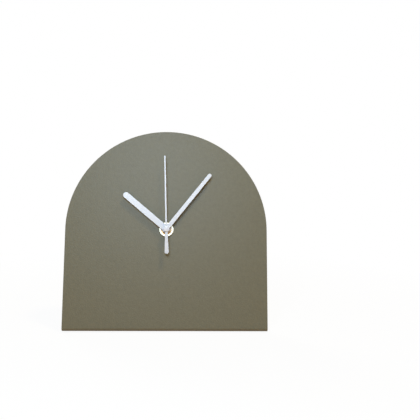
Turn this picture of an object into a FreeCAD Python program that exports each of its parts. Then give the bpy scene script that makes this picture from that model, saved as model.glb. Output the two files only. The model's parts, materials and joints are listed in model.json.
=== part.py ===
import FreeCAD, Part
import math
import os

# Arch-faced table clock with a quartz movement, in millimetres.
# One folded steel sheet is both the leaning face and the foot behind it.
# Row frame: +X to the viewer's right, the face looks towards -Y, +Z up,
# origin under the middle of the foot, on the surface the clock stands on.
#
# Everything behind and in front of the face is drawn in the face's own frame:
# x to the right, y square to the face and away from the viewer, z up the face.
# Its origin is the sharp lower corner where face and foot would meet unbent,
# and the front of the sheet is y = 0. The function stand() leans it back.

# Folded steel case
face_width = 200.0
face_height = 200.0
lean_deg = 14.5
sheet = 2.0
bend_radius = 3.0
case_depth = 60.0
foot_corner_radius = 8.0
edge_break = 0.4
pad_thickness = 1.0
pad_inset = 5.0

# Fits and clearances
overrun = 1.0
running_clearance = 0.05
loose_clearance = 0.15
seam = 0.1
layer_gap = 0.5

# Movement housing, a box whose width comes from the battery and whose height from its two rooms
housing_depth = 16.0
housing_corner = 4.0
side_wall = 1.5
front_wall = 1.4
rear_wall = 1.4
partition_wall = 1.2
washer_thickness = 0.8
washer_radius = 13.0
ledge = 3.0
plate_thickness = 1.0
inner_corner_cut = 1.5
wheel_room = 2.28

# Clips that hold the cover: a tab on each side with a window, over a wedge on the housing
clip_thickness = 1.0
clip_width = 8.0
clip_length = 6.0
clip_offset = 14.0
clip_frame = 1.5
clip_play = 0.1
finger_notch_width = 20.0
finger_notch_depth = 9.0
finger_notch_taper = 2.0

# Battery of the AA size and its contacts
battery_diameter = 14.2
battery_length = 49.2
battery_nub_radius = 2.7
battery_nub_length = 1.3
battery_edge = 0.6
bay_play = 0.2
contact_room = 1.25
contact_sheet = 0.3
contact_width = 8.0
contact_height = 10.0
contact_crown = 3.0

# Bush, nut and the hollow shafts inside each other
bush_radius = 4.0
bush_proud = 2.5
bush_flange = 1.4
bush_flange_thickness = 0.7
nut_radius = 7.0
nut_thickness = 2.0
nut_band = 1.8
nut_recess = 0.8
nut_chamfer = 0.3
hour_pipe_radius = 2.5
minute_arbor_radius = 1.5
second_arbor_radius = 0.5
pivot_radius = 0.4
pivot_length = 0.8
shaft_proud = 0.3

# Hands, cut from flat sheet
hand_sheet = 0.4
second_hand_sheet = 0.25
hour_hand_length = 55.6
hour_hand_width = 6.0
hour_hub_radius = 4.0
minute_hand_length = 70.7
minute_hand_width = 4.0
minute_tip_width = 3.8
minute_hub_radius = 3.3
second_hand_length = 73.7
second_hand_width = 1.5
second_tip_width = 1.2
second_tail_length = 24.5
second_tail_width = 4.0
second_root_width = 2.3
second_hub_radius = 2.4
cap_radius = 2.9
cap_height = 1.0
cap_chamfer = 0.35
cap_tube_wall = 0.4
bush_to_hour_hand = 1.2
hour_to_minute_hand = 1.4
minute_to_second_hand = 1.2

# Where the hands stand, clockwise from twelve
hour_hand_deg = -50.0
minute_hand_deg = 38.2
second_hand_deg = -1.9

# Gear train: distances between shafts, as shares of the chamber's half width,
# and the way from one shaft to the next
wheel_thickness = 1.0
arbor_radius = 0.7
third_distance_share = 0.347
third_deg = -45.0
intermediate_distance_share = 0.347
intermediate_deg = 56.0
rotor_distance_share = 0.317
rotor_deg = 35.0
motion_distance_share = 0.317
motion_deg = -100.0
setting_deg = -97.0
backlash = 0.05
pressure_deg = 25.0
wheel_addendum_share = 0.72
pinion_addendum_share = 0.9
dedendum_share = 1.15

# Tooth counts
seconds_pinion_teeth = 6
third_wheel_teeth = 45
third_pinion_teeth = 6
centre_wheel_teeth = 48
seconds_wheel_teeth = 30
intermediate_pinion_teeth = 6
intermediate_wheel_teeth = 36
rotor_pinion_teeth = 6
cannon_pinion_teeth = 10
motion_wheel_teeth = 30
motion_pinion_teeth = 8
hour_wheel_teeth = 32
setting_pinion_teeth = 10

# Stepping motor; the stator's outline in shares of the chamber's half width
magnet_radius = 2.6
magnet_length = 3.0
air_gap = 0.5
stator_post = 1.5
stator_sheet = 1.0
stator_length_share = 0.755
stator_bar_share = 0.325
stator_reach_share = 0.279
stator_leg = 3.0
stator_corner = 1.5
core_sheet = 1.0
coil_gap = 0.2
flange_thickness = 0.7
winding_depth = 0.3
bobbin_wall = 0.4

# Circuit board; its outline in shares of the chamber's half width
board_width_share = 0.74
board_height_share = 0.33
board_thickness = 0.8
board_inset = 1.0
chip_radius = 2.6
chip_height = 0.8
crystal_radius = 1.0
crystal_length = 6.0

# Setting knob
setting_shaft_radius = 2.0
knob_radius = 7.0
knob_thickness = 3.0
knob_gap = 0.4
knob_notches = 24
knob_notch_depth = 0.5
knob_dish_radius = 4.5
knob_dish_depth = 1.0

# Places worked out from the sizes above
shaft_z = face_height - face_width / 2
lean = math.radians(lean_deg)
bend_centre_y = bend_radius - case_depth / 2
bend_tangent = bend_radius * math.tan((math.pi / 2 + lean) / 2)
corner_y = bend_centre_y - bend_tangent

housing_front = sheet + washer_thickness
housing_back = housing_front + housing_depth
chamber_front = housing_front + front_wall
cover_front = housing_back - rear_wall
chamber_half = (battery_length + battery_nub_length) / 2 + contact_room
half_housing = chamber_half + side_wall

third_distance = third_distance_share * chamber_half
intermediate_distance = intermediate_distance_share * chamber_half
rotor_distance = rotor_distance_share * chamber_half
motion_distance = motion_distance_share * chamber_half
stator_length = stator_length_share * chamber_half
stator_bar = stator_bar_share * chamber_half
stator_reach = stator_reach_share * chamber_half
board_width = board_width_share * chamber_half
board_height = board_height_share * chamber_half


def module(distance, teeth, partner_teeth):
    return 2 * distance / (teeth + partner_teeth)


motion_module = module(motion_distance, cannon_pinion_teeth, motion_wheel_teeth)
hour_module = module(motion_distance, motion_pinion_teeth, hour_wheel_teeth)
third_module = module(third_distance, seconds_pinion_teeth, third_wheel_teeth)
centre_module = module(third_distance, third_pinion_teeth, centre_wheel_teeth)
intermediate_module = module(intermediate_distance, intermediate_pinion_teeth, seconds_wheel_teeth)
rotor_module = module(rotor_distance, rotor_pinion_teeth, intermediate_wheel_teeth)
centre_wheel_radius = centre_module * (centre_wheel_teeth / 2 + wheel_addendum_share)

chamber_bottom = -centre_wheel_radius - wheel_room
bay_top = chamber_bottom - partition_wall
bay_bottom = bay_top - battery_diameter - 2 * bay_play
housing_bottom = bay_bottom - side_wall
housing_top = chamber_half + side_wall
battery_z = bay_bottom + bay_play + battery_diameter / 2
battery_y = chamber_front + bay_play + battery_diameter / 2

hour_layer = chamber_front + layer_gap
motion_layer = hour_layer + wheel_thickness + layer_gap
plate_front = motion_layer + wheel_thickness + layer_gap
plate_back = plate_front + plate_thickness
centre_layer = plate_back + layer_gap
third_layer = centre_layer + wheel_thickness + layer_gap
seconds_layer = third_layer + wheel_thickness + layer_gap
intermediate_layer = seconds_layer + wheel_thickness + layer_gap

hour_hand_back = -bush_proud - bush_to_hour_hand
hour_hand_front = hour_hand_back - hand_sheet
minute_hand_back = hour_hand_front - hour_to_minute_hand
minute_hand_front = minute_hand_back - hand_sheet
second_hand_back = minute_hand_front - minute_to_second_hand
second_hand_front = second_hand_back - second_hand_sheet
cap_front = second_hand_front - cap_height

stator_front = plate_back + stator_post
core_front = stator_front + stator_sheet
coil_y = core_front + core_sheet / 2
flange_radius = coil_y - plate_back - coil_gap

knob_front = housing_back + knob_gap
knob_back = knob_front + knob_thickness


def vec(x, y, z):
    return FreeCAD.Vector(x, y, z)


along_y = vec(0, 1, 0)


def toward(deg, distance, start=(0, 0)):
    """A point of the face plane, at a clockwise angle from straight up."""
    turn = math.radians(deg)
    return (start[0] + distance * math.sin(turn), start[1] + distance * math.cos(turn))


centre = (0, shaft_z)
third_shaft = toward(third_deg, third_distance, centre)
intermediate_shaft = toward(intermediate_deg, intermediate_distance, centre)
rotor_shaft = toward(rotor_deg, rotor_distance, intermediate_shaft)
motion_shaft = toward(motion_deg, motion_distance, centre)


def stand(shape):
    """Lean a shape of the face's frame back and set it on the foot."""
    shape = shape.copy()
    shape.rotate(vec(0, 0, 0), vec(1, 0, 0), -lean_deg)
    shape.translate(vec(0, corner_y, pad_thickness))
    return shape


def save(name, shape):
    shape = shape.removeSplitter()
    assert shape.isValid(), name
    shape.exportStep("parts/" + name + ".step")
    print(name, "solids", len(shape.Solids), "volume", round(shape.Volume, 3))


# Simple bodies of the face's frame
def disc(radius, front, back, at=centre):
    return Part.makeCylinder(radius, back - front, vec(at[0], front, at[1]), along_y)


def tube(outer, inner, front, back, at=centre):
    return disc(outer, front, back, at).cut(disc(inner, front, back, at))


def slab(left, right, bottom, top, front, back):
    return Part.makeBox(right - left, back - front, top - bottom, vec(left, front, bottom))


def rounded_slab(left, right, bottom, top, radius, front, back):
    """A plate with four rounded corners."""
    corners = [
        (right - radius, top - radius, 0),
        (right - radius, bottom + radius, 90),
        (left + radius, bottom + radius, 180),
        (left + radius, top - radius, 270),
    ]
    ends = []
    for x, z, deg in corners:
        ends.append([toward(deg + step, radius, (x, z)) for step in (0, 45, 90)])
    edges = []
    for index, arc in enumerate(ends):
        points = [vec(x, front, z) for x, z in arc]
        edges.append(Part.Arc(*points).toShape())
        x, z = ends[(index + 1) % len(ends)][0]
        edges.append(Part.LineSegment(points[2], vec(x, front, z)).toShape())
    return Part.Face(Part.Wire(edges)).extrude(vec(0, back - front, 0))


def cut_corner_slab(left, right, bottom, top, cut, front, back):
    """A plate with four corners cut off at 45 degrees."""
    outline = [(left + cut, bottom), (right - cut, bottom), (right, bottom + cut), (right, top - cut),
               (right - cut, top), (left + cut, top), (left, top - cut), (left, bottom + cut)]
    return extruded(outline, front, back)


def extruded(outline, front, back):
    """A straight-sided shape over an outline of the face plane."""
    wire = Part.makePolygon([vec(x, front, z) for x, z in outline + outline[:1]])
    return Part.Face(wire).extrude(vec(0, back - front, 0))


def edges_where(shape, test):
    return [edge for edge in shape.Edges if test(edge)]


# Gears
def involute(angle):
    return math.tan(angle) - angle


def meshing_turn(turn, teeth, way_deg, partner_teeth):
    """The turn of a partner that brings its gaps to these teeth, the partner lying at way_deg."""
    here = (way_deg - turn) * teeth / 360
    return way_deg + 180 - (0.5 - here) * 360 / partner_teeth


def gear(teeth, size, front, back, at, turn, addendum_share, with_flank_curve):
    """A toothed disc with involute flanks; size is the module."""
    pressure = math.radians(pressure_deg)
    pitch_radius = size * teeth / 2
    base_radius = pitch_radius * math.cos(pressure)
    tip_radius = pitch_radius + addendum_share * size
    root_radius = pitch_radius - dedendum_share * size
    half_tooth = math.pi / (2 * teeth) - backlash / (2 * pitch_radius)

    def half_angle(radius):
        slope = math.acos(min(1, base_radius / radius))
        return half_tooth + involute(pressure) - involute(slope)

    radii = [root_radius]
    if with_flank_curve:
        radii.append(pitch_radius)
    radii.append(tip_radius)
    points = []
    for tooth in range(teeth):
        middle = turn + 360 * tooth / teeth
        flank = [(radius, math.degrees(half_angle(radius))) for radius in radii]
        for radius, half in flank:
            points.append(toward(middle - half, radius, at))
        for radius, half in reversed(flank):
            points.append(toward(middle + half, radius, at))
    return extruded(points, front, back)


def wheel(teeth, size, layer, at, turn):
    return gear(teeth, size, layer, layer + wheel_thickness, at, turn, wheel_addendum_share, False)


def pinion(teeth, size, layer, at, turn):
    """A pinion a little wider than the wheel that it meets."""
    front = layer - layer_gap / 4
    back = layer + wheel_thickness + layer_gap / 4
    return gear(teeth, size, front, back, at, turn, pinion_addendum_share, True)


def folded_case():
    """Face, bend and foot from one sheet, the face cut to an arch, then pierced for the bush."""
    inner_radius = bend_radius - sheet
    bend_z = pad_thickness + bend_radius
    turn = math.pi / 2 + lean

    def on_bend(radius, share):
        way = -math.pi / 2 - turn * share
        return vec(0, bend_centre_y + radius * math.cos(way), bend_z + radius * math.sin(way))

    up_face = vec(0, math.sin(lean), math.cos(lean)) * (face_height - bend_tangent)
    foot_end = case_depth / 2
    outer_top = on_bend(bend_radius, 1) + up_face
    inner_top = on_bend(inner_radius, 1) + up_face
    low = vec(0, foot_end, pad_thickness)
    high = vec(0, foot_end, pad_thickness + sheet)
    outer_bend = Part.Arc(*[on_bend(bend_radius, share) for share in (0, 0.5, 1)])
    inner_bend = Part.Arc(*[on_bend(inner_radius, share) for share in (1, 0.5, 0)])
    profile = Part.Wire([
        Part.LineSegment(low, on_bend(bend_radius, 0)).toShape(),
        outer_bend.toShape(),
        Part.LineSegment(on_bend(bend_radius, 1), outer_top).toShape(),
        Part.LineSegment(outer_top, inner_top).toShape(),
        Part.LineSegment(inner_top, on_bend(inner_radius, 1)).toShape(),
        inner_bend.toShape(),
        Part.LineSegment(on_bend(inner_radius, 0), high).toShape(),
        Part.LineSegment(high, low).toShape(),
    ])
    blank = Part.Face(profile).extrude(vec(face_width, 0, 0))
    blank.translate(vec(-face_width / 2, 0, 0))

    half = face_width / 2
    above = slab(-half - overrun, half + overrun, shaft_z, face_height + overrun, -overrun, sheet + overrun)
    waste = above.cut(disc(half, -overrun, sheet + overrun))
    hole = disc(bush_radius + loose_clearance, -overrun, sheet + overrun)
    case = blank.cut(stand(waste)).cut(stand(hole))

    foot_edges = edges_where(case, lambda edge: is_foot_corner(edge, foot_end, half))
    case = case.makeFillet(foot_corner_radius, foot_edges)
    rim = edges_where(case, is_rim_edge)
    return case.makeChamfer(edge_break, rim)


def is_foot_corner(edge, foot_end, half):
    box = edge.BoundBox
    upright = box.XLength < seam and box.YLength < seam
    return upright and abs(box.YMax - foot_end) < seam and abs(abs(box.XMax) - half) < seam


def is_rim_edge(edge):
    """The long edges of the face's outline, on its front and back."""
    middle = edge.valueAt((edge.FirstParameter + edge.LastParameter) / 2)
    offset = middle - vec(0, corner_y, pad_thickness)
    depth = offset.y * math.cos(lean) - offset.z * math.sin(lean)
    height = offset.y * math.sin(lean) + offset.z * math.cos(lean)
    on_face = min(abs(depth), abs(depth - sheet)) < seam / 2
    outside = abs(offset.x) > face_width / 2 - seam or height > face_height - seam
    return on_face and outside and height > bend_tangent


def foot_pad():
    front = bend_centre_y + pad_inset
    back = case_depth / 2 - pad_inset
    half = face_width / 2 - pad_inset
    pad = rounded_slab(-half, half, -back, -front, foot_corner_radius, 0, pad_thickness)
    pad.rotate(vec(0, 0, 0), vec(1, 0, 0), 90)
    return pad


# Movement case
setting_distance = motion_module * (motion_wheel_teeth + setting_pinion_teeth) / 2
setting_shaft = toward(setting_deg, setting_distance, motion_shaft)


def plate_ledges():
    """Square ledges in the chamber's corners, on which the middle plate lies."""
    outer = chamber_half
    inner = chamber_half - ledge
    low = shaft_z + chamber_bottom
    high = shaft_z + chamber_half
    rows = [(low, low + ledge), (high - ledge, high)]
    columns = [(-outer, -inner), (inner, outer)]
    return [slab(left, right, bottom, top, chamber_front, plate_front)
            for left, right in columns for bottom, top in rows]


def movement_housing():
    bottom = shaft_z + housing_bottom
    top = shaft_z + housing_top
    body = rounded_slab(-half_housing, half_housing, bottom, top, housing_corner, housing_front,
                        housing_back)
    beyond = housing_back + overrun
    chamber = cut_corner_slab(-chamber_half, chamber_half, shaft_z + chamber_bottom, shaft_z + chamber_half,
                              inner_corner_cut, chamber_front, beyond)
    bay = cut_corner_slab(-chamber_half, chamber_half, shaft_z + bay_bottom, shaft_z + bay_top,
                          inner_corner_cut, chamber_front, beyond)
    seat = slab(-half_housing - overrun, half_housing + overrun, shaft_z + bay_top, top + overrun,
                cover_front, beyond)
    body = body.cut(chamber).cut(bay).cut(seat).cut(finger_notch(bottom))
    for block in plate_ledges() + clip_wedges():
        body = body.fuse(block)
    body = body.fuse(disc(arbor_radius, chamber_front, plate_front, motion_shaft))
    body = body.cut(disc(bush_radius, housing_front - overrun, chamber_front + overrun))
    flange_front = chamber_front - bush_flange_thickness
    body = body.cut(disc(bush_radius + bush_flange, flange_front, chamber_front + overrun))
    pivot = disc(pivot_radius + running_clearance, chamber_front - pivot_length, chamber_front + overrun,
                 setting_shaft)
    return body.cut(pivot)


def finger_notch(bottom):
    """The gap in the bay's lower wall through which a finger lifts the cell out."""
    deep = finger_notch_width / 2 - finger_notch_taper
    wide = finger_notch_width / 2
    start = housing_back - finger_notch_depth
    line = [(-deep, start), (deep, start), (wide, housing_back), (wide, housing_back + overrun),
            (-wide, housing_back + overrun), (-wide, housing_back)]
    wire = Part.makePolygon([vec(x, y, bottom - overrun) for x, y in line + line[:1]])
    return Part.Face(wire).extrude(vec(0, 0, side_wall + 2 * overrun))


def clip_places():
    """Side and middle height of each clip."""
    return [(side, shaft_z + side_of_middle * clip_offset) for side in (-1, 1) for side_of_middle in (-1, 1)]


def clip_wedges():
    """Ramps on the housing's sides, over which the cover's clips snap."""
    reach = clip_width / 2 - clip_frame - clip_play
    back = cover_front - clip_play
    front = housing_back - clip_length + clip_frame + clip_play
    wedges = []
    for side, height in clip_places():
        outside = side * half_housing
        crest = side * (half_housing + clip_thickness)
        line = [(outside, back), (crest, front), (outside, front)]
        wire = Part.makePolygon([vec(x, y, height - reach) for x, y in line + line[:1]])
        wedges.append(Part.Face(wire).extrude(vec(0, 0, 2 * reach)))
    return wedges


def clip(side, height):
    """A tab down the housing's side, with the window for its wedge."""
    reach = clip_width / 2
    inside, outside = sorted((side * half_housing, side * (half_housing + clip_thickness)))
    tab = slab(inside, outside, height - reach, height + reach, housing_back - clip_length, housing_back)
    reach -= clip_frame
    window = slab(inside - overrun, outside + overrun, height - reach, height + reach,
                  housing_back - clip_length + clip_frame, cover_front)
    return tab.cut(window)


def movement_cover():
    lowest = shaft_z + housing_bottom
    top = shaft_z + housing_top
    whole = rounded_slab(-half_housing, half_housing, lowest, top, housing_corner,
                         cover_front, housing_back)
    below = slab(-half_housing - overrun, half_housing + overrun, lowest - overrun, shaft_z + bay_top + seam,
                 cover_front - overrun, housing_back + overrun)
    cover = whole.cut(below)
    for side, height in clip_places():
        cover = cover.fuse(clip(side, height))
    for place in (centre, third_shaft, intermediate_shaft, rotor_shaft):
        cover = cover.cut(disc(pivot_radius + running_clearance, cover_front - overrun,
                               cover_front + pivot_length + running_clearance, place))
    hole = disc(setting_shaft_radius + running_clearance, cover_front - overrun, housing_back + overrun,
                setting_shaft)
    return cover.cut(hole)


def middle_plate():
    """The plate between motion work and train, with its bearings and the stator's posts."""
    play = loose_clearance
    plate = cut_corner_slab(-chamber_half + play, chamber_half - play,
                            shaft_z + chamber_bottom + play, shaft_z + chamber_half - play,
                            inner_corner_cut, plate_front, plate_back)
    plate = plate.cut(disc(minute_arbor_radius + running_clearance, plate_front - overrun,
                           plate_back + overrun))
    plate = plate.cut(disc(setting_shaft_radius + running_clearance, plate_front - overrun,
                           plate_back + overrun, setting_shaft))
    for place in (third_shaft, intermediate_shaft, rotor_shaft):
        plate = plate.cut(disc(pivot_radius + running_clearance, plate_front - overrun,
                               plate_back + overrun, place))
    reach = stator_leg / 2 - play
    for x, z in stator_posts():
        plate = plate.fuse(slab(x - reach, x + reach, z - reach, z + reach, plate_back, stator_front))
    return plate


def threaded_bush():
    bore = hour_pipe_radius + running_clearance
    flange_front = chamber_front - bush_flange_thickness
    body = tube(bush_radius, bore, -bush_proud, chamber_front)
    flange = tube(bush_radius + bush_flange, bore, flange_front, chamber_front)
    return body.fuse(flange)


def sealing_washer():
    return tube(washer_radius, bush_radius + loose_clearance, sheet, housing_front)


def dial_nut():
    body = tube(nut_radius, bush_radius + running_clearance, -nut_thickness, 0)
    body = body.cut(disc(nut_radius - nut_band, -nut_thickness - overrun, nut_recess - nut_thickness))
    rim = edges_where(body, is_nut_rim)
    return body.makeChamfer(nut_chamfer, rim)


def is_nut_rim(edge):
    box = edge.BoundBox
    return abs(box.YMax + nut_thickness) < seam and abs(box.XMax - nut_radius) < seam and box.YLength < seam


# Hands
def blade(root_width, tip_width, length, front, back):
    """A flat bar up from the shaft, its end rounded."""
    radius = tip_width / 2
    shoulder = shaft_z + length - radius
    root = [vec(-root_width / 2, front, shaft_z), vec(root_width / 2, front, shaft_z)]
    left = vec(-radius, front, shoulder)
    right = vec(radius, front, shoulder)
    tip = vec(0, front, shaft_z + length)
    wire = Part.Wire([
        Part.LineSegment(root[0], left).toShape(),
        Part.Arc(left, tip, right).toShape(),
        Part.LineSegment(right, root[1]).toShape(),
        Part.LineSegment(root[1], root[0]).toShape(),
    ])
    return Part.Face(wire).extrude(vec(0, back - front, 0))


def turned(shape, deg, at=centre):
    """A shape turned clockwise, as the viewer sees it, about a shaft."""
    shape = shape.copy()
    shape.rotate(vec(at[0], 0, at[1]), along_y, deg)
    return shape


def hour_hand():
    arm = blade(hour_hand_width, hour_hand_width, hour_hand_length, hour_hand_front, hour_hand_back)
    hand = arm.fuse(disc(hour_hub_radius, hour_hand_front, hour_hand_back))
    hand = hand.cut(disc(hour_pipe_radius, hour_hand_front - overrun, hour_hand_back + overrun))
    return turned(hand, hour_hand_deg)


def minute_hand():
    arm = blade(minute_hand_width, minute_tip_width, minute_hand_length, minute_hand_front, minute_hand_back)
    hand = arm.fuse(disc(minute_hub_radius, minute_hand_front, minute_hand_back))
    hand = hand.cut(disc(minute_arbor_radius, minute_hand_front - overrun, minute_hand_back + overrun))
    return turned(hand, minute_hand_deg)


def second_hand():
    arm = blade(second_hand_width, second_tip_width, second_hand_length, second_hand_front, second_hand_back)
    tail = blade(second_root_width, second_tail_width, second_tail_length, second_hand_front,
                 second_hand_back)
    hand = arm.fuse(turned(tail, 180)).fuse(disc(second_hub_radius, second_hand_front, second_hand_back))
    stem = second_arbor_radius + cap_tube_wall
    hand = hand.cut(disc(stem, second_hand_front - overrun, second_hand_back + overrun))
    return turned(hand, second_hand_deg)


def second_hand_cap():
    """A turned button on the hand's front, with the tube that grips the arbor."""
    cap = disc(cap_radius, cap_front, second_hand_front)
    rim = edges_where(cap, lambda edge: edge.BoundBox.YMax < cap_front + seam)
    cap = cap.makeChamfer(cap_chamfer, rim)
    stem = disc(second_arbor_radius + cap_tube_wall, second_hand_front, minute_hand_front - shaft_proud * 2)
    bore = disc(second_arbor_radius, cap_front + cap_height / 2, minute_hand_front + overrun)
    return cap.fuse(stem).cut(bore)


# Shafts and wheels
def hour_wheel():
    turn = meshing_turn(0, motion_pinion_teeth, motion_deg + 180, hour_wheel_teeth)
    body = wheel(hour_wheel_teeth, hour_module, hour_layer, centre, turn)
    body = body.fuse(disc(hour_pipe_radius, hour_hand_front - shaft_proud, hour_layer + wheel_thickness))
    bore = minute_arbor_radius + running_clearance
    return body.cut(disc(bore, hour_hand_front - overrun, hour_layer + wheel_thickness + overrun))


def minute_arbor():
    """The hollow arbor of the minute hand, with the cannon pinion cut in it."""
    back = centre_layer + wheel_thickness
    body = disc(minute_arbor_radius, minute_hand_front - shaft_proud, back)
    body = body.fuse(pinion(cannon_pinion_teeth, motion_module, motion_layer, centre, 0))
    bore = second_arbor_radius + running_clearance
    return body.cut(disc(bore, minute_hand_front - overrun, back + overrun))


def motion_wheel():
    turn = meshing_turn(0, cannon_pinion_teeth, motion_deg, motion_wheel_teeth)
    body = wheel(motion_wheel_teeth, motion_module, motion_layer, motion_shaft, turn)
    small = gear(motion_pinion_teeth, hour_module, hour_layer - layer_gap / 4, motion_layer, motion_shaft, 0,
                 pinion_addendum_share, True)
    bore = arbor_radius + running_clearance
    return body.fuse(small).cut(disc(bore, hour_layer - overrun, motion_layer + wheel_thickness + overrun,
                                     motion_shaft))


def setting_pinion():
    meshed = meshing_turn(0, cannon_pinion_teeth, motion_deg, motion_wheel_teeth)
    turn = meshing_turn(meshed, motion_wheel_teeth, setting_deg, setting_pinion_teeth)
    body = pinion(setting_pinion_teeth, motion_module, motion_layer, setting_shaft, turn)
    front = motion_layer - layer_gap / 4
    back = motion_layer + wheel_thickness + layer_gap / 4
    body = body.fuse(disc(setting_shaft_radius, back, knob_front + knob_dish_depth, setting_shaft))
    pivot_front = chamber_front - pivot_length + running_clearance
    return body.fuse(disc(pivot_radius, pivot_front, front, setting_shaft))


def setting_knob():
    step = 360 / knob_notches
    rim = [(0, knob_radius), (step / 2, knob_radius), (step * 3 / 4, knob_radius - knob_notch_depth)]
    points = [toward(step * notch + deg, radius, setting_shaft)
              for notch in range(knob_notches) for deg, radius in rim]
    knob = extruded(points, knob_front, knob_back)
    knob = knob.cut(disc(knob_dish_radius, knob_back - knob_dish_depth, knob_back + overrun, setting_shaft))
    return knob.cut(disc(setting_shaft_radius, knob_front - overrun, knob_front + knob_dish_depth,
                         setting_shaft))


def centre_wheel():
    turn = meshing_turn(0, third_pinion_teeth, third_deg + 180, centre_wheel_teeth)
    body = wheel(centre_wheel_teeth, centre_module, centre_layer, centre, turn)
    bore = minute_arbor_radius + running_clearance
    return body.cut(disc(bore, centre_layer - overrun, centre_layer + wheel_thickness + overrun))


def third_wheel():
    turn = meshing_turn(0, seconds_pinion_teeth, third_deg, third_wheel_teeth)
    body = wheel(third_wheel_teeth, third_module, third_layer, third_shaft, turn)
    small = gear(third_pinion_teeth, centre_module, centre_layer - layer_gap / 4, third_layer, third_shaft,
                 0, pinion_addendum_share, True)
    return body.fuse(small).fuse(pivots(third_shaft, centre_layer, third_layer + wheel_thickness))


def pivots(place, front, back):
    """The thin arbor before and behind a wheel, which turns in the plate and in the cover."""
    ends = disc(pivot_radius, plate_front, front, place)
    return ends.fuse(disc(pivot_radius, back, cover_front + pivot_length, place))


def seconds_wheel():
    body = wheel(seconds_wheel_teeth, intermediate_module, seconds_layer, centre, 0)
    small = gear(seconds_pinion_teeth, third_module, third_layer - layer_gap / 4, seconds_layer, centre, 0,
                 pinion_addendum_share, True)
    back = seconds_layer + wheel_thickness
    return body.fuse(small).cut(disc(second_arbor_radius, third_layer - overrun, back + overrun))


def second_arbor():
    front = cap_front + cap_height / 2
    body = disc(second_arbor_radius, front, seconds_layer + wheel_thickness)
    return body.fuse(disc(pivot_radius, seconds_layer + wheel_thickness, cover_front + pivot_length))


def intermediate_wheel():
    turn = meshing_turn(0, seconds_wheel_teeth, intermediate_deg, intermediate_pinion_teeth)
    body = wheel(intermediate_wheel_teeth, rotor_module, intermediate_layer, intermediate_shaft, 0)
    small = gear(intermediate_pinion_teeth, intermediate_module, seconds_layer - layer_gap / 4,
                 intermediate_layer, intermediate_shaft, turn, pinion_addendum_share, True)
    back = intermediate_layer + wheel_thickness
    return body.fuse(small).fuse(pivots(intermediate_shaft, seconds_layer, back))


# Stepping motor
def rotor_magnet():
    middle = stator_front + stator_sheet / 2
    front = middle - magnet_length / 2
    back = middle + magnet_length / 2
    return tube(magnet_radius, pivot_radius, front, back, rotor_shaft)


def rotor_pinion():
    turn = meshing_turn(0, intermediate_wheel_teeth, rotor_deg, rotor_pinion_teeth)
    body = pinion(rotor_pinion_teeth, rotor_module, intermediate_layer, rotor_shaft, turn)
    front = intermediate_layer - layer_gap / 4
    back = intermediate_layer + wheel_thickness + layer_gap / 4
    return body.fuse(pivots(rotor_shaft, front, back))


def stator_posts():
    reach = (stator_length - stator_leg) / 2
    height = rotor_shaft[1] + stator_bar / 2 + stator_reach - stator_leg / 2
    return [(rotor_shaft[0] - reach, height), (rotor_shaft[0] + reach, height)]


def stator():
    """A U of soft iron: the bar round the rotor and two legs up to the coil's core."""
    x, z = rotor_shaft
    half = stator_length / 2
    bottom = z - stator_bar / 2
    top = z + stator_bar / 2 + stator_reach
    body = rounded_slab(x - half, x + half, bottom, top, stator_corner, stator_front, core_front)
    gap = slab(x - half + stator_leg, x + half - stator_leg, z + stator_bar / 2, top + overrun,
               stator_front - overrun, core_front + overrun)
    bore = disc(magnet_radius + air_gap, stator_front - overrun, core_front + overrun, rotor_shaft)
    return body.cut(gap).cut(bore)


def coil_line():
    """Height of the coil's axis."""
    return stator_posts()[0][1]


def coil_core():
    x = rotor_shaft[0]
    half = stator_length / 2
    z = coil_line()
    wide = stator_leg / 2
    return slab(x - half, x + half, z - wide, z + wide, core_front, core_front + core_sheet)


def along_x(radius, left, right):
    return Part.makeCylinder(radius, right - left, vec(left, coil_y, coil_line()), vec(1, 0, 0))


def coil_span():
    x = rotor_shaft[0]
    reach = stator_length / 2 - stator_leg - seam
    return x - reach, x + reach


def spool_radius():
    return math.hypot(stator_leg / 2 + seam, core_sheet / 2 + seam) + bobbin_wall


def coil_bobbin():
    left, right = coil_span()
    body = along_x(spool_radius(), left, right)
    body = body.fuse(along_x(flange_radius, left, left + flange_thickness))
    body = body.fuse(along_x(flange_radius, right - flange_thickness, right))
    z = coil_line()
    wide = stator_leg / 2 + seam
    window = slab(left - overrun, right + overrun, z - wide, z + wide, core_front - seam,
                  core_front + core_sheet + seam)
    return body.cut(window)


def coil_winding():
    left, right = coil_span()
    start = left + flange_thickness
    end = right - flange_thickness
    return along_x(flange_radius - winding_depth, start, end).cut(along_x(spool_radius(), start, end))


# Electronics and battery
def board_corner():
    return board_inset - chamber_half, shaft_z + chamber_half - board_inset - board_height


def circuit_board():
    left, bottom = board_corner()
    return slab(left, left + board_width, bottom, bottom + board_height, plate_back,
                plate_back + board_thickness)


def controller_chip():
    left, bottom = board_corner()
    place = (left + board_width / 4, bottom + board_height / 2)
    front = plate_back + board_thickness
    return disc(chip_radius, front, front + chip_height, place)


def quartz_crystal():
    left, bottom = board_corner()
    start = left + board_width / 2
    height = plate_back + board_thickness + crystal_radius
    return Part.makeCylinder(crystal_radius, crystal_length, vec(start, height, bottom + board_height / 2),
                             vec(1, 0, 0))


def battery_start():
    spare = 2 * chamber_half - battery_length - battery_nub_length
    return -chamber_half + spare / 2


def battery():
    """A round cell lying across the bay, its nub towards +X."""
    start = battery_start()
    base = vec(start, battery_y, shaft_z + battery_z)
    body = Part.makeCylinder(battery_diameter / 2, battery_length, base, vec(1, 0, 0))
    body = body.makeChamfer(battery_edge, edges_where(body, lambda edge: edge.BoundBox.XLength < seam))
    nub = Part.makeCylinder(battery_nub_radius, battery_length + battery_nub_length, base, vec(1, 0, 0))
    return body.fuse(nub)


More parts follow.
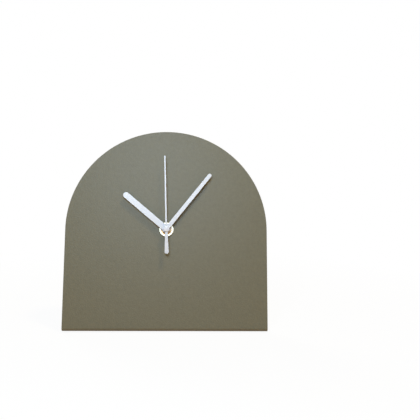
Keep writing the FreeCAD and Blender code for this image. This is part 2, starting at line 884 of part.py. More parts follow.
def contact(side):
    """A leaf along the bay's end wall, bowed out so that its crown meets the cell."""
    wall = side * chamber_half
    bow = side * (contact_room - contact_sheet)
    skin = side * contact_sheet
    reach = contact_height / 2
    half = contact_crown / 2
    line = [(wall, -reach), (wall, -reach + half), (wall - bow, -half), (wall - bow, half),
            (wall, reach - half), (wall, reach)]
    points = line + [(x - skin, y) for x, y in reversed(line)]
    z = shaft_z + battery_z - contact_width / 2
    wire = Part.makePolygon([vec(x, battery_y + y, z) for x, y in points + points[:1]])
    return Part.Face(wire).extrude(vec(0, 0, contact_width))


os.makedirs("parts", exist_ok=True)

save("folded_case", folded_case())
save("foot_pad", foot_pad())

face_frame_parts = {
    "movement_housing": movement_housing,
    "movement_cover": movement_cover,
    "middle_plate": middle_plate,
    "threaded_bush": threaded_bush,
    "sealing_washer": sealing_washer,
    "dial_nut": dial_nut,
    "hour_hand": hour_hand,
    "minute_hand": minute_hand,
    "second_hand": second_hand,
    "second_hand_cap": second_hand_cap,
    "hour_wheel": hour_wheel,
    "minute_arbor": minute_arbor,
    "motion_wheel": motion_wheel,
    "setting_pinion": setting_pinion,
    "setting_knob": setting_knob,
    "centre_wheel": centre_wheel,
    "third_wheel": third_wheel,
    "seconds_wheel": seconds_wheel,
    "second_arbor": second_arbor,
    "intermediate_wheel": intermediate_wheel,
    "rotor_magnet": rotor_magnet,
    "rotor_pinion": rotor_pinion,
    "stator": stator,
    "coil_core": coil_core,
    "coil_bobbin": coil_bobbin,
    "coil_winding": coil_winding,
    "circuit_board": circuit_board,
    "controller_chip": controller_chip,
    "quartz_crystal": quartz_crystal,
    "battery": battery,
    "battery_positive_contact": lambda: contact(1),
    "battery_negative_contact": lambda: contact(-1),
}
for name, make in face_frame_parts.items():
    save(name, stand(make()))
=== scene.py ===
# %% [markdown]
# # An arch-faced table clock, folded from one sheet of steel
#
# The imported model is the frame: it fixes every size and place, and this script
# only gives it looks. It is loaded first.

# %% Load the imported model
import json
import math

import bmesh
import bpy
from mathutils import Matrix, Vector
from mathutils.geometry import tessellate_polygon


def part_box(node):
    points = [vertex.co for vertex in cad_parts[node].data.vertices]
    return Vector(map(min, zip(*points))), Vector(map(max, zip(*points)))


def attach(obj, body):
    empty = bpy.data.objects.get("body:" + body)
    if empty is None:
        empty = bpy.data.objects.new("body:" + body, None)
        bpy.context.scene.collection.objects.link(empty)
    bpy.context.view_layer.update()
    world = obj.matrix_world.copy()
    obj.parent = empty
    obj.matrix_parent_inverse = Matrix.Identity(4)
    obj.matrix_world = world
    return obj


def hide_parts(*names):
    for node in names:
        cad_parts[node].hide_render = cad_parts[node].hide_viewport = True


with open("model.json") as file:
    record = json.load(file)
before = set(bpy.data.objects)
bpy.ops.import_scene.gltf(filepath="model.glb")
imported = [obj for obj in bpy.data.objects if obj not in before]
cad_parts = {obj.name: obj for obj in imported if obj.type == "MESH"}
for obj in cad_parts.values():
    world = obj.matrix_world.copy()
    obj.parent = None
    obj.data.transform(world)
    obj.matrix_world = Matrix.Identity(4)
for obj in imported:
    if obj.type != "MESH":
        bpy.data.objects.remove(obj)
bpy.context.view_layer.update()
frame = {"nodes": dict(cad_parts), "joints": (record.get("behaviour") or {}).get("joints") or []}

# %% [markdown]
# ## Where the face stands
#
# Everything on the clock is square to its leaning face, so a maker would draw
# it on the face. The second hand's joint gives the point where the shaft goes
# through the sheet's front and the way the shaft points. One matrix comes from
# these: x to the right, y away from the viewer, z up the face, in millimetres.

# %% The face's own frame
mm = 0.001
shaft_joint = next(joint for joint in frame["joints"] if joint["name"] == "second_hand_turn")
shaft_point = Vector(shaft_joint["pos_m"])
lean = math.asin(-shaft_joint["axis"][2])
face_turn = Matrix.Rotation(-lean, 4, "X")
face_place = Matrix.Translation(shaft_point) @ face_turn @ Matrix.Scale(mm, 4)
print("the face leans back by", round(math.degrees(lean), 2), "degrees")

# %% [markdown]
# ## Working with nodes
#
# One function adds a node: its settings, and for each of its inputs either a
# value or the socket that feeds it. Colours are written as the sRGB hex values
# a paint chart gives, and turned to linear light by one function. Patterns are
# given by their real size in millimetres. Object coordinates are metres here.


# %% Node and colour helpers
def add_node(tree, kind, inputs=None, **settings):
    """A new node with its settings, and with its inputs set or linked."""
    node = tree.nodes.new(kind)
    for name, value in settings.items():
        setattr(node, name, value)
    for socket, value in (inputs or {}).items():
        if isinstance(value, bpy.types.NodeSocket):
            tree.links.new(value, node.inputs[socket])
        else:
            node.inputs[socket].default_value = value
    return node


def linear(hex_colour):
    """Linear RGBA of an sRGB colour written as #RRGGBB."""
    shares = [int(hex_colour[start:start + 2], 16) / 255 for start in (1, 3, 5)]
    return [share / 12.92 if share <= 0.04045 else ((share + 0.055) / 1.055) ** 2.4
            for share in shares] + [1]


def per_metre(size_mm):
    """How often a detail of this size fits in a metre, for a texture's scale."""
    return 1 / (size_mm * mm)


def object_place(tree):
    """The socket that says where a point lies on its piece."""
    return add_node(tree, "ShaderNodeTexCoord").outputs["Object"]


# %% [markdown]
# ## What most surfaces share
#
# No moulded, sprayed or sintered surface is one flat colour. Two tones drift
# into each other over some millimetres, a much finer grain breaks the gloss,
# and the same grain stands up from the surface a little. Noise is the plainest
# model of all three, so each finish states its tones, sizes and grain height.
# A noise texture's values crowd around a half, so only a part of its range
# occurs, and the sum of two noises crowds around one.

# %% Noise of a real size
grain_low = 0.3
grain_high = 0.7
speckle_low = 0.7
speckle_high = 1.3


def noise(tree, here, size_mm, detail):
    """Noise whose blobs are about this wide, as a value."""
    inputs = {"Vector": here, "Scale": per_metre(size_mm), "Detail": detail}
    return add_node(tree, "ShaderNodeTexNoise", inputs).outputs["Fac"]


print("a grain of 1 mm has the scale", per_metre(1))

# %% [markdown]
# ## A finish from tones and grain
#
# The grain drives the roughness and the relief, and together with the drift of
# tones it mixes the two colours. A Mix node takes its colours at the sockets 6
# and 7 and gives the mixed one at output 2. Without tones, the colour is left
# to what follows.

# %% Tones and grain
grain_detail = 2.0
tone_detail = 3.0


def grained_finish(name, grain_mm, relief_mm, roughness, tones=None, tone_mm=None,
                   place=object_place, **surface):
    """A material with drifting tones, a roughness between two values and a fine relief."""
    finish = bpy.data.materials.new(name)
    finish.use_nodes = True
    tree = finish.node_tree
    shader = tree.nodes["Principled BSDF"]
    for socket, value in surface.items():
        shader.inputs[socket.replace("_", " ")].default_value = value
    here = place(tree)
    grain = noise(tree, here, grain_mm, grain_detail)
    gloss = add_node(tree, "ShaderNodeMapRange",
                     {"Value": grain, "From Min": grain_low, "From Max": grain_high,
                      "To Min": roughness[0], "To Max": roughness[1]})
    tree.links.new(gloss.outputs["Result"], shader.inputs["Roughness"])
    relief = add_node(tree, "ShaderNodeBump", {"Height": grain, "Distance": relief_mm * mm})
    tree.links.new(relief.outputs["Normal"], shader.inputs["Normal"])
    if tones:
        drift = noise(tree, here, tone_mm, tone_detail)
        speckle = add_node(tree, "ShaderNodeMath", {0: drift, 1: grain}, operation="ADD")
        spread = add_node(tree, "ShaderNodeMapRange",
                          {"Value": speckle.outputs[0], "From Min": speckle_low,
                           "From Max": speckle_high})
        colour = add_node(tree, "ShaderNodeMix",
                          {0: spread.outputs["Result"], 6: linear(tones[0]), 7: linear(tones[1])},
                          data_type="RGBA")
        tree.links.new(colour.outputs[2], shader.inputs["Base Color"])
    print("finish", name)
    return finish


# %% [markdown]
# ## Powder coat on the case
#
# Polyester powder, sprayed dry and baked on the steel: a textured grey-green.
# Its grain scatters the light softly; it is drawn a millimetre wide, coarser
# than real, so that it shows at the picture's size. A broad weak gloss stays,
# which brings the pale room in as a veil, so the paint itself is darker than
# the face looks. The tones differ little.

# %% Powder coat
powder_coat = grained_finish("powder_coat_fine_texture_polyester", grain_mm=1.0, relief_mm=0.14,
                             roughness=(0.4, 0.5), tones=("#6A6753", "#726F5A"), tone_mm=3.0, IOR=1.44)

# %% [markdown]
# ## Lacquer on the hands and the cap
#
# White lacquer sprayed on stamped aluminium, satin. The spray leaves a faint
# orange peel a little under a millimetre wide. The turned cap in front of the
# hands wears the same lacquer, a little duller. A coat over the coloured
# surface stands for the clear last layer.

# %% Hand and cap lacquer
hand_lacquer = grained_finish("hand_lacquer_satin_white", grain_mm=0.8, relief_mm=0.004,
                              roughness=(0.32, 0.42), tones=("#D8DDE7", "#DEE3ED"), tone_mm=5.0,
                              IOR=1.5, Coat_Weight=0.3, Coat_Roughness=0.2)
cap_lacquer = grained_finish("cap_lacquer_pale", grain_mm=0.8, relief_mm=0.004,
                             roughness=(0.36, 0.46), tones=("#DCE1EC", "#E2E7F2"), tone_mm=3.0,
                             IOR=1.5, Coat_Weight=0.3, Coat_Roughness=0.2)

# %% [markdown]
# ## A second relief on a finish
#
# Some surfaces carry more than grain: lathe lines, the weave of a board, pits
# of foam. One function lays such a pattern over the relief that is there. The
# Wave texture gives even lines. It repeats 20 / tau times in a unit at scale
# 1, and the lines' real distance is turned into its scale with that.

# %% Lines and other patterns in relief
wave_length = math.tau / 20


def stripes(finish, spacing_mm, place=object_place, inputs=None, **settings):
    """Even lines this far apart, as a height."""
    tree = finish.node_tree
    scale = per_metre(spacing_mm) * wave_length
    return add_node(tree, "ShaderNodeTexWave",
                    {"Vector": place(tree), "Scale": scale, **(inputs or {})}, **settings).outputs["Fac"]


def add_relief(finish, height, depth_mm):
    """Lay one more pattern over the relief that a finish has."""
    tree = finish.node_tree
    normal = tree.nodes["Principled BSDF"].inputs["Normal"]
    relief = add_node(tree, "ShaderNodeBump", {"Height": height, "Distance": depth_mm * mm,
                                               "Normal": normal.links[0].from_socket})
    tree.links.new(relief.outputs["Normal"], normal)


# %% [markdown]
# ## Turned metals
#
# A lathe leaves fine circles round the axis, a tenth of a millimetre apart.
# Rings of a wave texture give them, once a Mapping node has moved the pattern
# onto the shaft and leant it back with the face. A metal keeps its default IOR.

# %% Turned brass, bare and with a painted highlight
lathe_spacing = 0.12
lathe_depth = 0.002


def shaft_place(tree):
    """Where a point lies, seen from the shaft and leant back with the face."""
    return add_node(tree, "ShaderNodeMapping",
                    {"Vector": object_place(tree), "Location": shaft_point, "Rotation": (-lean, 0, 0)},
                    vector_type="TEXTURE").outputs["Vector"]


def turned_metal(name, tones, roughness):
    """A metal with the fine circles that a lathe leaves."""
    finish = grained_finish(name, grain_mm=0.3, relief_mm=0.002, roughness=roughness, tones=tones,
                            tone_mm=2.0, place=shaft_place, Metallic=1.0)
    lines = stripes(finish, lathe_spacing, shaft_place, {"Distortion": 0.6, "Detail Scale": 3.0},
                    wave_type="RINGS", rings_direction="Y")
    add_relief(finish, lines, lathe_depth)
    return finish


turned_brass = turned_metal("turned_brass_polished", ("#B08350", "#BE9260"), (0.2, 0.32))
# The pale ivory is a painted highlight on brass, for the nut's band.
brass_painted_highlight = turned_metal("turned_brass_painted_highlight_pale", ("#DCD4BC", "#E4DDC8"), (0.34, 0.46))

# %% [markdown]
# ## Moulded plastics
#
# The movement's case is injection-moulded in black ABS, in a tool whose face
# was spark-eroded: a fine even pitting. The knob is the same plastic from a
# smoother tool. Wheels and middle plate are white acetal, waxy and a little
# translucent, which a small share of subsurface light shows.

# %% Plastics
black_moulding = grained_finish("black_moulding_abs_spark_eroded", grain_mm=0.35, relief_mm=0.02,
                                roughness=(0.42, 0.6), tones=("#1B1C1D", "#232425"), tone_mm=6.0,
                                IOR=1.54)
knob_moulding = grained_finish("knob_moulding_abs_satin", grain_mm=0.3, relief_mm=0.008,
                               roughness=(0.32, 0.42), tones=("#202122", "#2A2B2C"), tone_mm=4.0,
                               IOR=1.54)
white_acetal = grained_finish("white_acetal_moulded", grain_mm=0.4, relief_mm=0.004,
                              roughness=(0.3, 0.4), tones=("#E9E8E1", "#F1F0EA"), tone_mm=3.0,
                              IOR=1.48, Subsurface_Weight=0.15, Subsurface_Scale=0.0006)

# %% [markdown]
# ## Rubber and foam
#
# The washer is natural rubber, dusted and dull. The pad under the foot is
# die-cut from closed-cell foam: cut cells show as small pits, which a Voronoi
# pattern gives, its cells four tenths of a millimetre wide.

# %% Rubber and foam
foam_cell = 0.4
foam_pit_depth = 0.08
rubber = grained_finish("rubber_washer_black", grain_mm=0.25, relief_mm=0.01, roughness=(0.7, 0.85),
                        tones=("#262524", "#32302E"), tone_mm=2.0, IOR=1.52)
foam_pad = grained_finish("foam_pad_closed_cell", grain_mm=0.3, relief_mm=0.01, roughness=(0.8, 0.95),
                          tones=("#3A3A39", "#484846"), tone_mm=3.0, IOR=1.45)
foam_cells = add_node(foam_pad.node_tree, "ShaderNodeTexVoronoi",
                      {"Vector": object_place(foam_pad.node_tree), "Scale": per_metre(foam_cell)})
add_relief(foam_pad, foam_cells.outputs["Distance"], foam_pit_depth)

# %% [markdown]
# ## Metals inside
#
# Contacts and crystal are nickel-plated, drawn and stamped with a soft sheen.
# The arbor is ground steel, the stator and core are annealed soft iron, dull
# and a little blotchy, and the rotor's magnet is pressed and sintered ferrite.

# %% Nickel, steel, iron and ferrite
nickel = grained_finish("nickel_plated_sheet", grain_mm=0.3, relief_mm=0.003, roughness=(0.22, 0.36),
                        tones=("#C6C3BA", "#D2CFC7"), tone_mm=3.0, Metallic=1.0)
steel = grained_finish("steel_ground", grain_mm=0.15, relief_mm=0.002, roughness=(0.2, 0.32),
                       tones=("#B4B5B6", "#C1C2C3"), tone_mm=1.5, Metallic=1.0)
soft_iron = grained_finish("soft_iron_annealed", grain_mm=0.2, relief_mm=0.004, roughness=(0.4, 0.6),
                           tones=("#8C8983", "#A09D97"), tone_mm=1.5, Metallic=1.0)
magnet = grained_finish("magnet_sintered_ferrite", grain_mm=0.15, relief_mm=0.01,
                        roughness=(0.5, 0.7), tones=("#3B3B3D", "#47474A"), tone_mm=1.0, IOR=1.8)

# %% [markdown]
# ## Winding, board and resin
#
# The coil is enamelled copper wire: a metal under a clear coat, with the faint
# lines that the drawing die leaves, which fine bands give. The board is glass
# cloth in epoxy under a green mask: the cloth's threads cross half a millimetre
# apart and show as a faint weave. The chip hides under a drop of black resin,
# smooth and glossy.

# %% Copper, board and resin
die_line_spacing = 0.12
die_line_depth = 0.05
thread_spacing = 0.5
weave_depth = 0.01
copper_wire = grained_finish("copper_wire_enamelled", grain_mm=0.2, relief_mm=0.002,
                             roughness=(0.25, 0.38), tones=("#B4633A", "#C9764A"), tone_mm=2.0,
                             Metallic=1.0, Coat_Weight=0.6)
add_relief(copper_wire, stripes(copper_wire, die_line_spacing, bands_direction="X"), die_line_depth)
board = grained_finish("board_glass_epoxy_green_mask", grain_mm=0.25, relief_mm=0.003,
                       roughness=(0.3, 0.42), tones=("#1F5A3A", "#2A6E49"), tone_mm=1.5,
                       IOR=1.55, Coat_Weight=0.4)
for direction in ("X", "Z"):
    add_relief(board, stripes(board, thread_spacing, bands_direction=direction), weave_depth)
resin = grained_finish("resin_drop_black_epoxy", grain_mm=0.4, relief_mm=0.004, roughness=(0.18, 0.3),
                       tones=("#141415", "#1C1C1D"), tone_mm=1.5, IOR=1.55, Coat_Weight=0.5)

# %% [markdown]
# ## The cell's jacket
#
# A round cell wears a printed film, shrunk on. It stays plain here: a dark
# band over most of its length and a pale one at the nub's end, with a thin line
# between. The bands follow the cell's own length, which a Mapping node brings
# to run from 0 at the flat end to 1 at the nub's end. A Color Ramp with sharp
# steps then colours each stretch; its last stop, at 1, is there from the start.

# %% Cell jacket
jacket_dark = "#3C4A50"
jacket_line = "#D8D6CC"
jacket_pale = "#B9C4C2"
band_starts = [(0.0, jacket_dark), (0.72, jacket_line), (0.735, jacket_dark), (0.75, jacket_pale)]
cell_low, cell_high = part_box("battery")
cell_length = cell_high.x - cell_low.x
cell_jacket = grained_finish("cell_jacket_printed_film", grain_mm=0.5, relief_mm=0.002,
                             roughness=(0.25, 0.35), IOR=1.5, Coat_Weight=0.5)
tree = cell_jacket.node_tree
along = add_node(tree, "ShaderNodeMapping",
                 {"Vector": object_place(tree), "Location": (cell_low.x, 0, 0),
                  "Scale": (cell_length, 1, 1)}, vector_type="TEXTURE")
length_share = add_node(tree, "ShaderNodeSeparateXYZ", {"Vector": along.outputs["Vector"]}).outputs["X"]
bands = add_node(tree, "ShaderNodeValToRGB", {"Fac": length_share})
bands.color_ramp.interpolation = "CONSTANT"
for index, (start, colour) in enumerate(band_starts):
    stop = bands.color_ramp.elements[0] if index == 0 else bands.color_ramp.elements.new(start)
    stop.color = linear(colour)
bands.color_ramp.elements[-1].color = linear(jacket_pale)
tree.links.new(bands.outputs["Color"], tree.nodes["Principled BSDF"].inputs["Base Color"])

# %% [markdown]
# ## Outlines with rounded corners
#
# Stamped, moulded and turned parts rarely have a sharp corner. A corner could
# be rounded by a Bevel modifier, but the radius is a size on the drawing here,
# so it is worked out on the outline: a list of corners, each with its radius.


# %% Round the corners of an outline
def on_circle(radius, angle, middle=(0, 0)):
    """The point at this angle on a circle."""
    return Vector((middle[0] + radius * math.cos(angle), middle[1] + radius * math.sin(angle)))


def circle(radius, count):
    """Evenly spaced points round a circle."""
    return [on_circle(radius, math.tau * step / count) for step in range(count)]


def rounded(corners, steps):
    """Points of a closed outline, from corners given as (x, y, radius)."""
    points = []
    for index, (x, y, radius) in enumerate(corners):
        corner = Vector((x, y))
        if radius == 0:
            points.append(corner)
            continue
        to_last = (Vector(corners[index - 1][:2]) - corner).normalized()
        to_next = (Vector(corners[(index + 1) % len(corners)][:2]) - corner).normalized()
        half_angle = to_last.angle(to_next) / 2
        reach = radius / math.tan(half_angle)
        middle = corner + (to_last + to_next).normalized() * radius / math.sin(half_angle)
        first = corner + to_last * reach - middle
        last = corner + to_next * reach - middle
        start = math.atan2(first.y, first.x)
        sweep = (math.atan2(last.y, last.x) - start + math.pi) % math.tau - math.pi
        points += [on_circle(radius, start + sweep * step / steps, middle) for step in range(steps + 1)]
    return points


# %% [markdown]
# ## From points to a piece
#
# A mesh is built in the maker's millimetres and then moved as a whole into
# place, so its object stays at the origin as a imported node's does. Faces are
# turned outwards, and edges sharper than an angle stay crisp. A smoothed rim
# would bend the shading of the flat face beside it, like a pillow. Normals that
# are given prevent that, and else a Weighted Normal modifier lets large faces
# rule over small ones.

# %% Make a mesh object in its place
turned_sharp_angle = math.radians(35)


def add_object(name, data):
    """A new object in the scene, at the origin."""
    thing = bpy.data.objects.new(name, data)
    bpy.context.scene.collection.objects.link(thing)
    return thing


def finished_mesh(holder):
    """The plain mesh that an object's modifiers make."""
    return bpy.data.meshes.new_from_object(holder.evaluated_get(bpy.context.evaluated_depsgraph_get()))


def make_piece(name, points, faces, place, finish, normals=None):
    """A mesh in its place, facing outwards and smoothly shaded, as an object."""
    mesh = bpy.data.meshes.new(name)
    mesh.from_pydata(points, [], faces)
    shape = bmesh.new()
    shape.from_mesh(mesh)
    bmesh.ops.recalc_face_normals(shape, faces=shape.faces)
    shape.to_mesh(mesh)
    shape.free()
    mesh.transform(place)
    mesh.materials.append(finish)
    mesh.shade_smooth()
    piece = add_object(name, mesh)
    if normals:
        turn = place.to_3x3().normalized()
        mesh.normals_split_custom_set_from_vertices([turn @ normal for normal in normals])
    else:
        mesh.set_sharp_from_angle(angle=turned_sharp_angle)
        level = piece.modifiers.new("level faces", "WEIGHTED_NORMAL")
        level.keep_sharp = True
        piece.data = finished_mesh(piece)
        piece.modifiers.clear()
    print(name, len(piece.data.polygons), "faces")
    return piece


# %% [markdown]
# ## The rim of a sheet part
#
# Case and hands are cut from sheet. Their edges are never knife-sharp: shears
# and tumbling round them, and the light catches that rim. The outline, with any
# holes, is repeated in rings from the front over the rounded rim to the back.
# Each point gets the normal of the true rounded form, so that large flat faces
# don't shade like pillows.


# %% Rings over a rim
def inward_ways(loop):
    """At each point of a loop, the way into the material, long enough to keep the rim's width."""
    ways = []
    for index, point in enumerate(loop):
        before = (point - loop[index - 1]).normalized()
        after = (loop[(index + 1) % len(loop)] - point).normalized()
        left_before = Vector((-before.y, before.x))
        left_after = Vector((-after.y, after.x))
        ways.append((left_before + left_after) / (1 + left_before.dot(left_after)))
    return ways


def rim_rings(loops, front, back, rim, rim_steps=3):
    """Points and normals of the rings, from the front's edge over the rim to the back's edge."""
    angles = [math.pi / 2 * step / rim_steps for step in range(rim_steps + 1)]
    rings = [(angle, front + rim * (1 - math.cos(angle)), -1) for angle in angles]
    rings += [(angle, back - rim * (1 - math.cos(angle)), 1) for angle in reversed(angles)]
    points, normals = [], []
    for angle, depth, side in rings:
        for loop in loops:
            for point, way in zip(loop, inward_ways(loop)):
                moved = point + way * rim * (1 - math.sin(angle))
                points.append((moved.x, depth, moved.y))
                outward = -way.normalized() * math.sin(angle)
                normals.append(Vector((outward.x, side * math.cos(angle), outward.y)))
    return points, normals, len(rings)


# %% [markdown]
# ## A whole sheet part
#
# The rings are joined by faces of four sides, and the flat front and back are
# filled with triangles last. The material lies to the left of every loop once
# the outline runs counterclockwise and the holes clockwise. The sign of a
# loop's area tells which way it runs, and a wrong one is reversed.


# %% Join the rings and fill the flats
def area(loop):
    """Area inside a loop, positive where it runs counterclockwise."""
    return sum(a.x * b.y - b.x * a.y for a, b in zip(loop, loop[1:] + loop[:1])) / 2


def sheet_part(loops, front, back, rim, regions=None):
    """Points, faces and normals of a flat part; the first loop is its outline, the others are holes.

    Regions cut the flat front and back into areas that are filled one by one.
    """
    loops = [loop if (area(loop) > 0) == (index == 0) else loop[::-1] for index, loop in enumerate(loops)]
    points, normals, ring_count = rim_rings(loops, front, back, rim)
    starts = [sum(len(loop) for loop in loops[:index]) for index in range(len(loops))]
    total = sum(len(loop) for loop in loops)
    faces = []
    for ring in range(ring_count - 1):
        for start, loop in zip(starts, loops):
            for index in range(len(loop)):
                here = ring * total + start + index
                beside = ring * total + start + (index + 1) % len(loop)
                faces.append((here, beside, beside + total, here + total))
    if regions is None:
        regions = [[list(range(start, start + len(loop))) for start, loop in zip(starts, loops)]]
    last_ring = (ring_count - 1) * total
    for region in regions:
        flat = [index for loop in region for index in loop]
        outline = [[Vector((points[index][0], points[index][2], 0)) for index in loop] for loop in region]
        for triangle in tessellate_polygon(outline):
            faces.append(tuple(flat[corner] for corner in triangle))
            faces.append(tuple(flat[corner] + last_ring for corner in triangle))
    return points, faces, normals


# %% [markdown]
# ## The case: cut flat, then folded
#
# A workshop cuts this case from flat sheet: a straight foot with two rounded
# corners, running into an arch, pierced once for the shaft. Then it is folded
# over a bar. The script does the same. All lengths are in millimetres and are
# measured on the face, up from the shaft.

# %% Sizes of the folded sheet
face_half = 100.0
shaft_height = 100.0
sheet = 2.0
bend_radius = 3.0
case_depth = 60.0
foot_corner_radius = 8.0
hole_radius = 4.15
case_rim = 0.4
arch_steps = 160
bend_steps = 14
foot_corner_steps = 12
hole_steps = 64
bend_turn = math.pi / 2 + lean
bend_top = bend_radius * math.tan(bend_turn / 2) - shaft_height
bend_bottom = bend_top - bend_radius * bend_turn
foot_end = bend_bottom - (case_depth - bend_radius)
print("the blank is", round(face_half - foot_end, 1), "mm long, its bend measured along the outside")

# %% [markdown]
# ## The blank
#
# The blank is drawn unrolled: the arch, down the left side, round the foot and
# up the right side. Cross lines where the bend will be give the fold something
# to bend. The face with its hole, each strip between two cross lines, and the
# foot are filled on their own, so no triangle runs across the bend.

# %% Draw the blank
arch = [on_circle(face_half, math.pi * step / arch_steps) for step in range(arch_steps + 1)]
levels = [bend_top + (bend_bottom - bend_top) * step / bend_steps for step in range(bend_steps + 1)]
left_side = [Vector((-face_half, level)) for level in levels]
right_side = [Vector((face_half, level)) for level in reversed(levels)]
foot_corners = [(-face_half, foot_end, foot_corner_radius), (face_half, foot_end, foot_corner_radius),
                (face_half, bend_bottom, 0), (-face_half, bend_bottom, 0)]
foot = rounded(foot_corners, foot_corner_steps)[:-2]
blank = arch + left_side + foot + right_side
hole = circle(hole_radius, hole_steps)
left_start = len(arch)
foot_start = left_start + len(left_side)
right_start = foot_start + len(foot)
face_region = [list(range(left_start + 1)) + [len(blank) - 1],
               list(range(len(blank), len(blank) + len(hole)))]
foot_region = [list(range(foot_start - 1, right_start + 1))]
strips = [[[left_start + step, left_start + step + 1, len(blank) - 2 - step, len(blank) - 1 - step]]
          for step in range(bend_steps)]
points, faces, normals = sheet_part([blank, hole], 0, sheet, case_rim,
                                    regions=[face_region, foot_region] + strips)
print("blank of", len(blank), "points on its outline and", len(hole), "round its hole")

# %% [markdown]
# ## The fold
#
# A Simple Deform modifier can bend a mesh, but here the radius and the angle
# are sizes of the part. So each point is rolled by the rule of the fold. Its
# height below the bend's start is the way it has to travel: first round the
# bend, then on along the foot. Its normal turns with it.


# %% Fold it
def fold(point, normal):
    """Roll a point of the blank, and the way it faces, round the bend."""
    x, depth, height = point
    if height >= bend_top:
        return Vector(point), normal
    travel = bend_top - height
    turn = min(travel / bend_radius, bend_turn)
    beyond = max(0, travel - bend_radius * bend_turn)
    inward = Vector((0, math.cos(turn), math.sin(turn)))
    onward = Vector((0, math.sin(turn), -math.cos(turn)))
    rolled = Vector((x, bend_radius, bend_top)) + inward * (depth - bend_radius) + onward * beyond
    return rolled, Vector((normal.x, 0, 0)) + inward * normal.y - onward * normal.z


folded = [fold(point, normal) for point, normal in zip(points, normals)]
case_sheet = make_piece("case_sheet", [point for point, normal in folded], faces, face_place, powder_coat,
                        [normal for point, normal in folded])
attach(case_sheet, "case")
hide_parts("folded_case")

# %% [markdown]
# ## The hands
#
# Three hands stamped from aluminium. Each is a hub disc with an arm, whose
# round end is as wide as the arm there; the second hand has a widening tail
# too. An arm is given by its width at the hub and at its end, its length and
# the way it points. The outline runs round the hub and out along each arm where
# the two meet. It could be cut from overlapping shapes, but one outline gives
# one clean rounded rim. The photograph shows it as a brighter line on each side.

# %% Outline of a hand pointing up
hand_sizes = {
    "hour_hand": {"hub": 4.0, "bore": 2.5, "arms": [(6.0, 6.0, 55.6, 0)], "turn": -50.0, "rim": 0.12},
    "minute_hand": {"hub": 3.3, "bore": 1.5, "arms": [(4.0, 3.8, 70.7, 0)], "turn": 38.2, "rim": 0.12},
    "second_hand": {"hub": 2.4, "bore": 0.9, "arms": [(1.5, 1.2, 73.7, 0), (2.3, 4.0, 24.5, 180)],
                    "turn": -1.9, "rim": 0.08},
}


def arm_outline(hub, root_width, tip_width, length, steps=24, settle_rounds=8):
    """Right edge, round end and left edge of an arm pointing up, from where it leaves the hub."""
    tip = tip_width / 2
    shoulder = length - tip
    height = hub
    for settle in range(settle_rounds):
        half = root_width / 2 + (tip - root_width / 2) * height / shoulder
        height = math.sqrt(hub ** 2 - half ** 2)
    end = [on_circle(tip, math.pi * step / steps, (0, shoulder)) for step in range(steps + 1)]
    return [Vector((half, height))] + end + [Vector((-half, height))]


def hand_outline(hub, arms, steps=56):
    """Counterclockwise outline of a hub with its arms."""
    parts = []
    for root_width, tip_width, length, turn in arms:
        turned = Matrix.Rotation(-math.radians(turn), 2)
        parts.append([turned @ point for point in arm_outline(hub, root_width, tip_width, length)])
    points = []
    for index, part in enumerate(parts):
        leave = part[-1]
        meet = parts[(index + 1) % len(parts)][0]
        start = math.atan2(leave.y, leave.x)
        sweep = (math.atan2(meet.y, meet.x) - start) % math.tau
        arc_steps = max(2, round(steps * sweep / math.tau))
        points += part
        points += [on_circle(hub, start + sweep * step / arc_steps) for step in range(1, arc_steps)]
    return points


print("hands:", ", ".join(hand_sizes))

# %% [markdown]
# ## Stamping the hands
#
# A hand is drawn pointing up and then turned about the shaft to where it stands
# in the photograph. How far it lies in front of the sheet, and how thick it is,
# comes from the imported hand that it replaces.

# %% Make the hands
hand_bodies = {"hour_hand": "hour_hand_assembly", "minute_hand": "minute_hand_assembly",
               "second_hand": "second_hand_assembly"}
to_face = face_place.inverted()
bore_steps = 40


def depths(node):
    """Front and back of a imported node, in millimetres behind the front of the sheet."""
    corners = [to_face @ vertex.co for vertex in frame["nodes"][node].data.vertices]
    return min(corner.y for corner in corners), max(corner.y for corner in corners)


for node, size in hand_sizes.items():
    front, back = depths(node)
    loops = [hand_outline(size["hub"], size["arms"]), circle(size["bore"], bore_steps)]
    points, faces, normals = sheet_part(loops, front, back, size["rim"])
    place = face_place @ Matrix.Rotation(math.radians(size["turn"]), 4, "Y")
    hand = make_piece(node + "_stamped", points, faces, place, hand_lacquer, normals)
    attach(hand, hand_bodies[node])
    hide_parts(node)
    print(node, "from", round(front, 2), "to", round(back, 2))

# %% [markdown]
# ## Turned parts
#
# Nut, bush, cap and cell are round about an axis. As on a lathe, only half of
# the section is drawn, as (radius, depth), and spun about the part's own y.
# A Screw modifier would do the same; points of our own close on the axis
# without doubled points.


# %% Spin a section
def spin(profile, segments):
    """Points and faces of a section turned about y; its points go round once and may touch the axis."""
    points, faces, rings = [], [], []
    for radius, depth in profile:
        count = segments if radius > 0 else 1
        rings.append(list(range(len(points), len(points) + count)))
        for step in range(count):
            turn = math.tau * step / segments
            points.append((radius * math.sin(turn), depth, radius * math.cos(turn)))
    for low, high in zip(rings, rings[1:] + rings[:1]):
        for step in range(segments):
            corners = [low[step % len(low)], low[(step + 1) % len(low)],
                       high[(step + 1) % len(high)], high[step % len(high)]]
            corners = list(dict.fromkeys(corners))
            if len(corners) > 2:
                faces.append(corners)
    return points, faces


def turned_piece(name, corners, place, finish, segments=96, steps=4):
    """A part turned from the corners of its section."""
    points, faces = spin([tuple(point) for point in rounded(corners, steps)], segments)
    return make_piece(name, points, faces, place, finish)
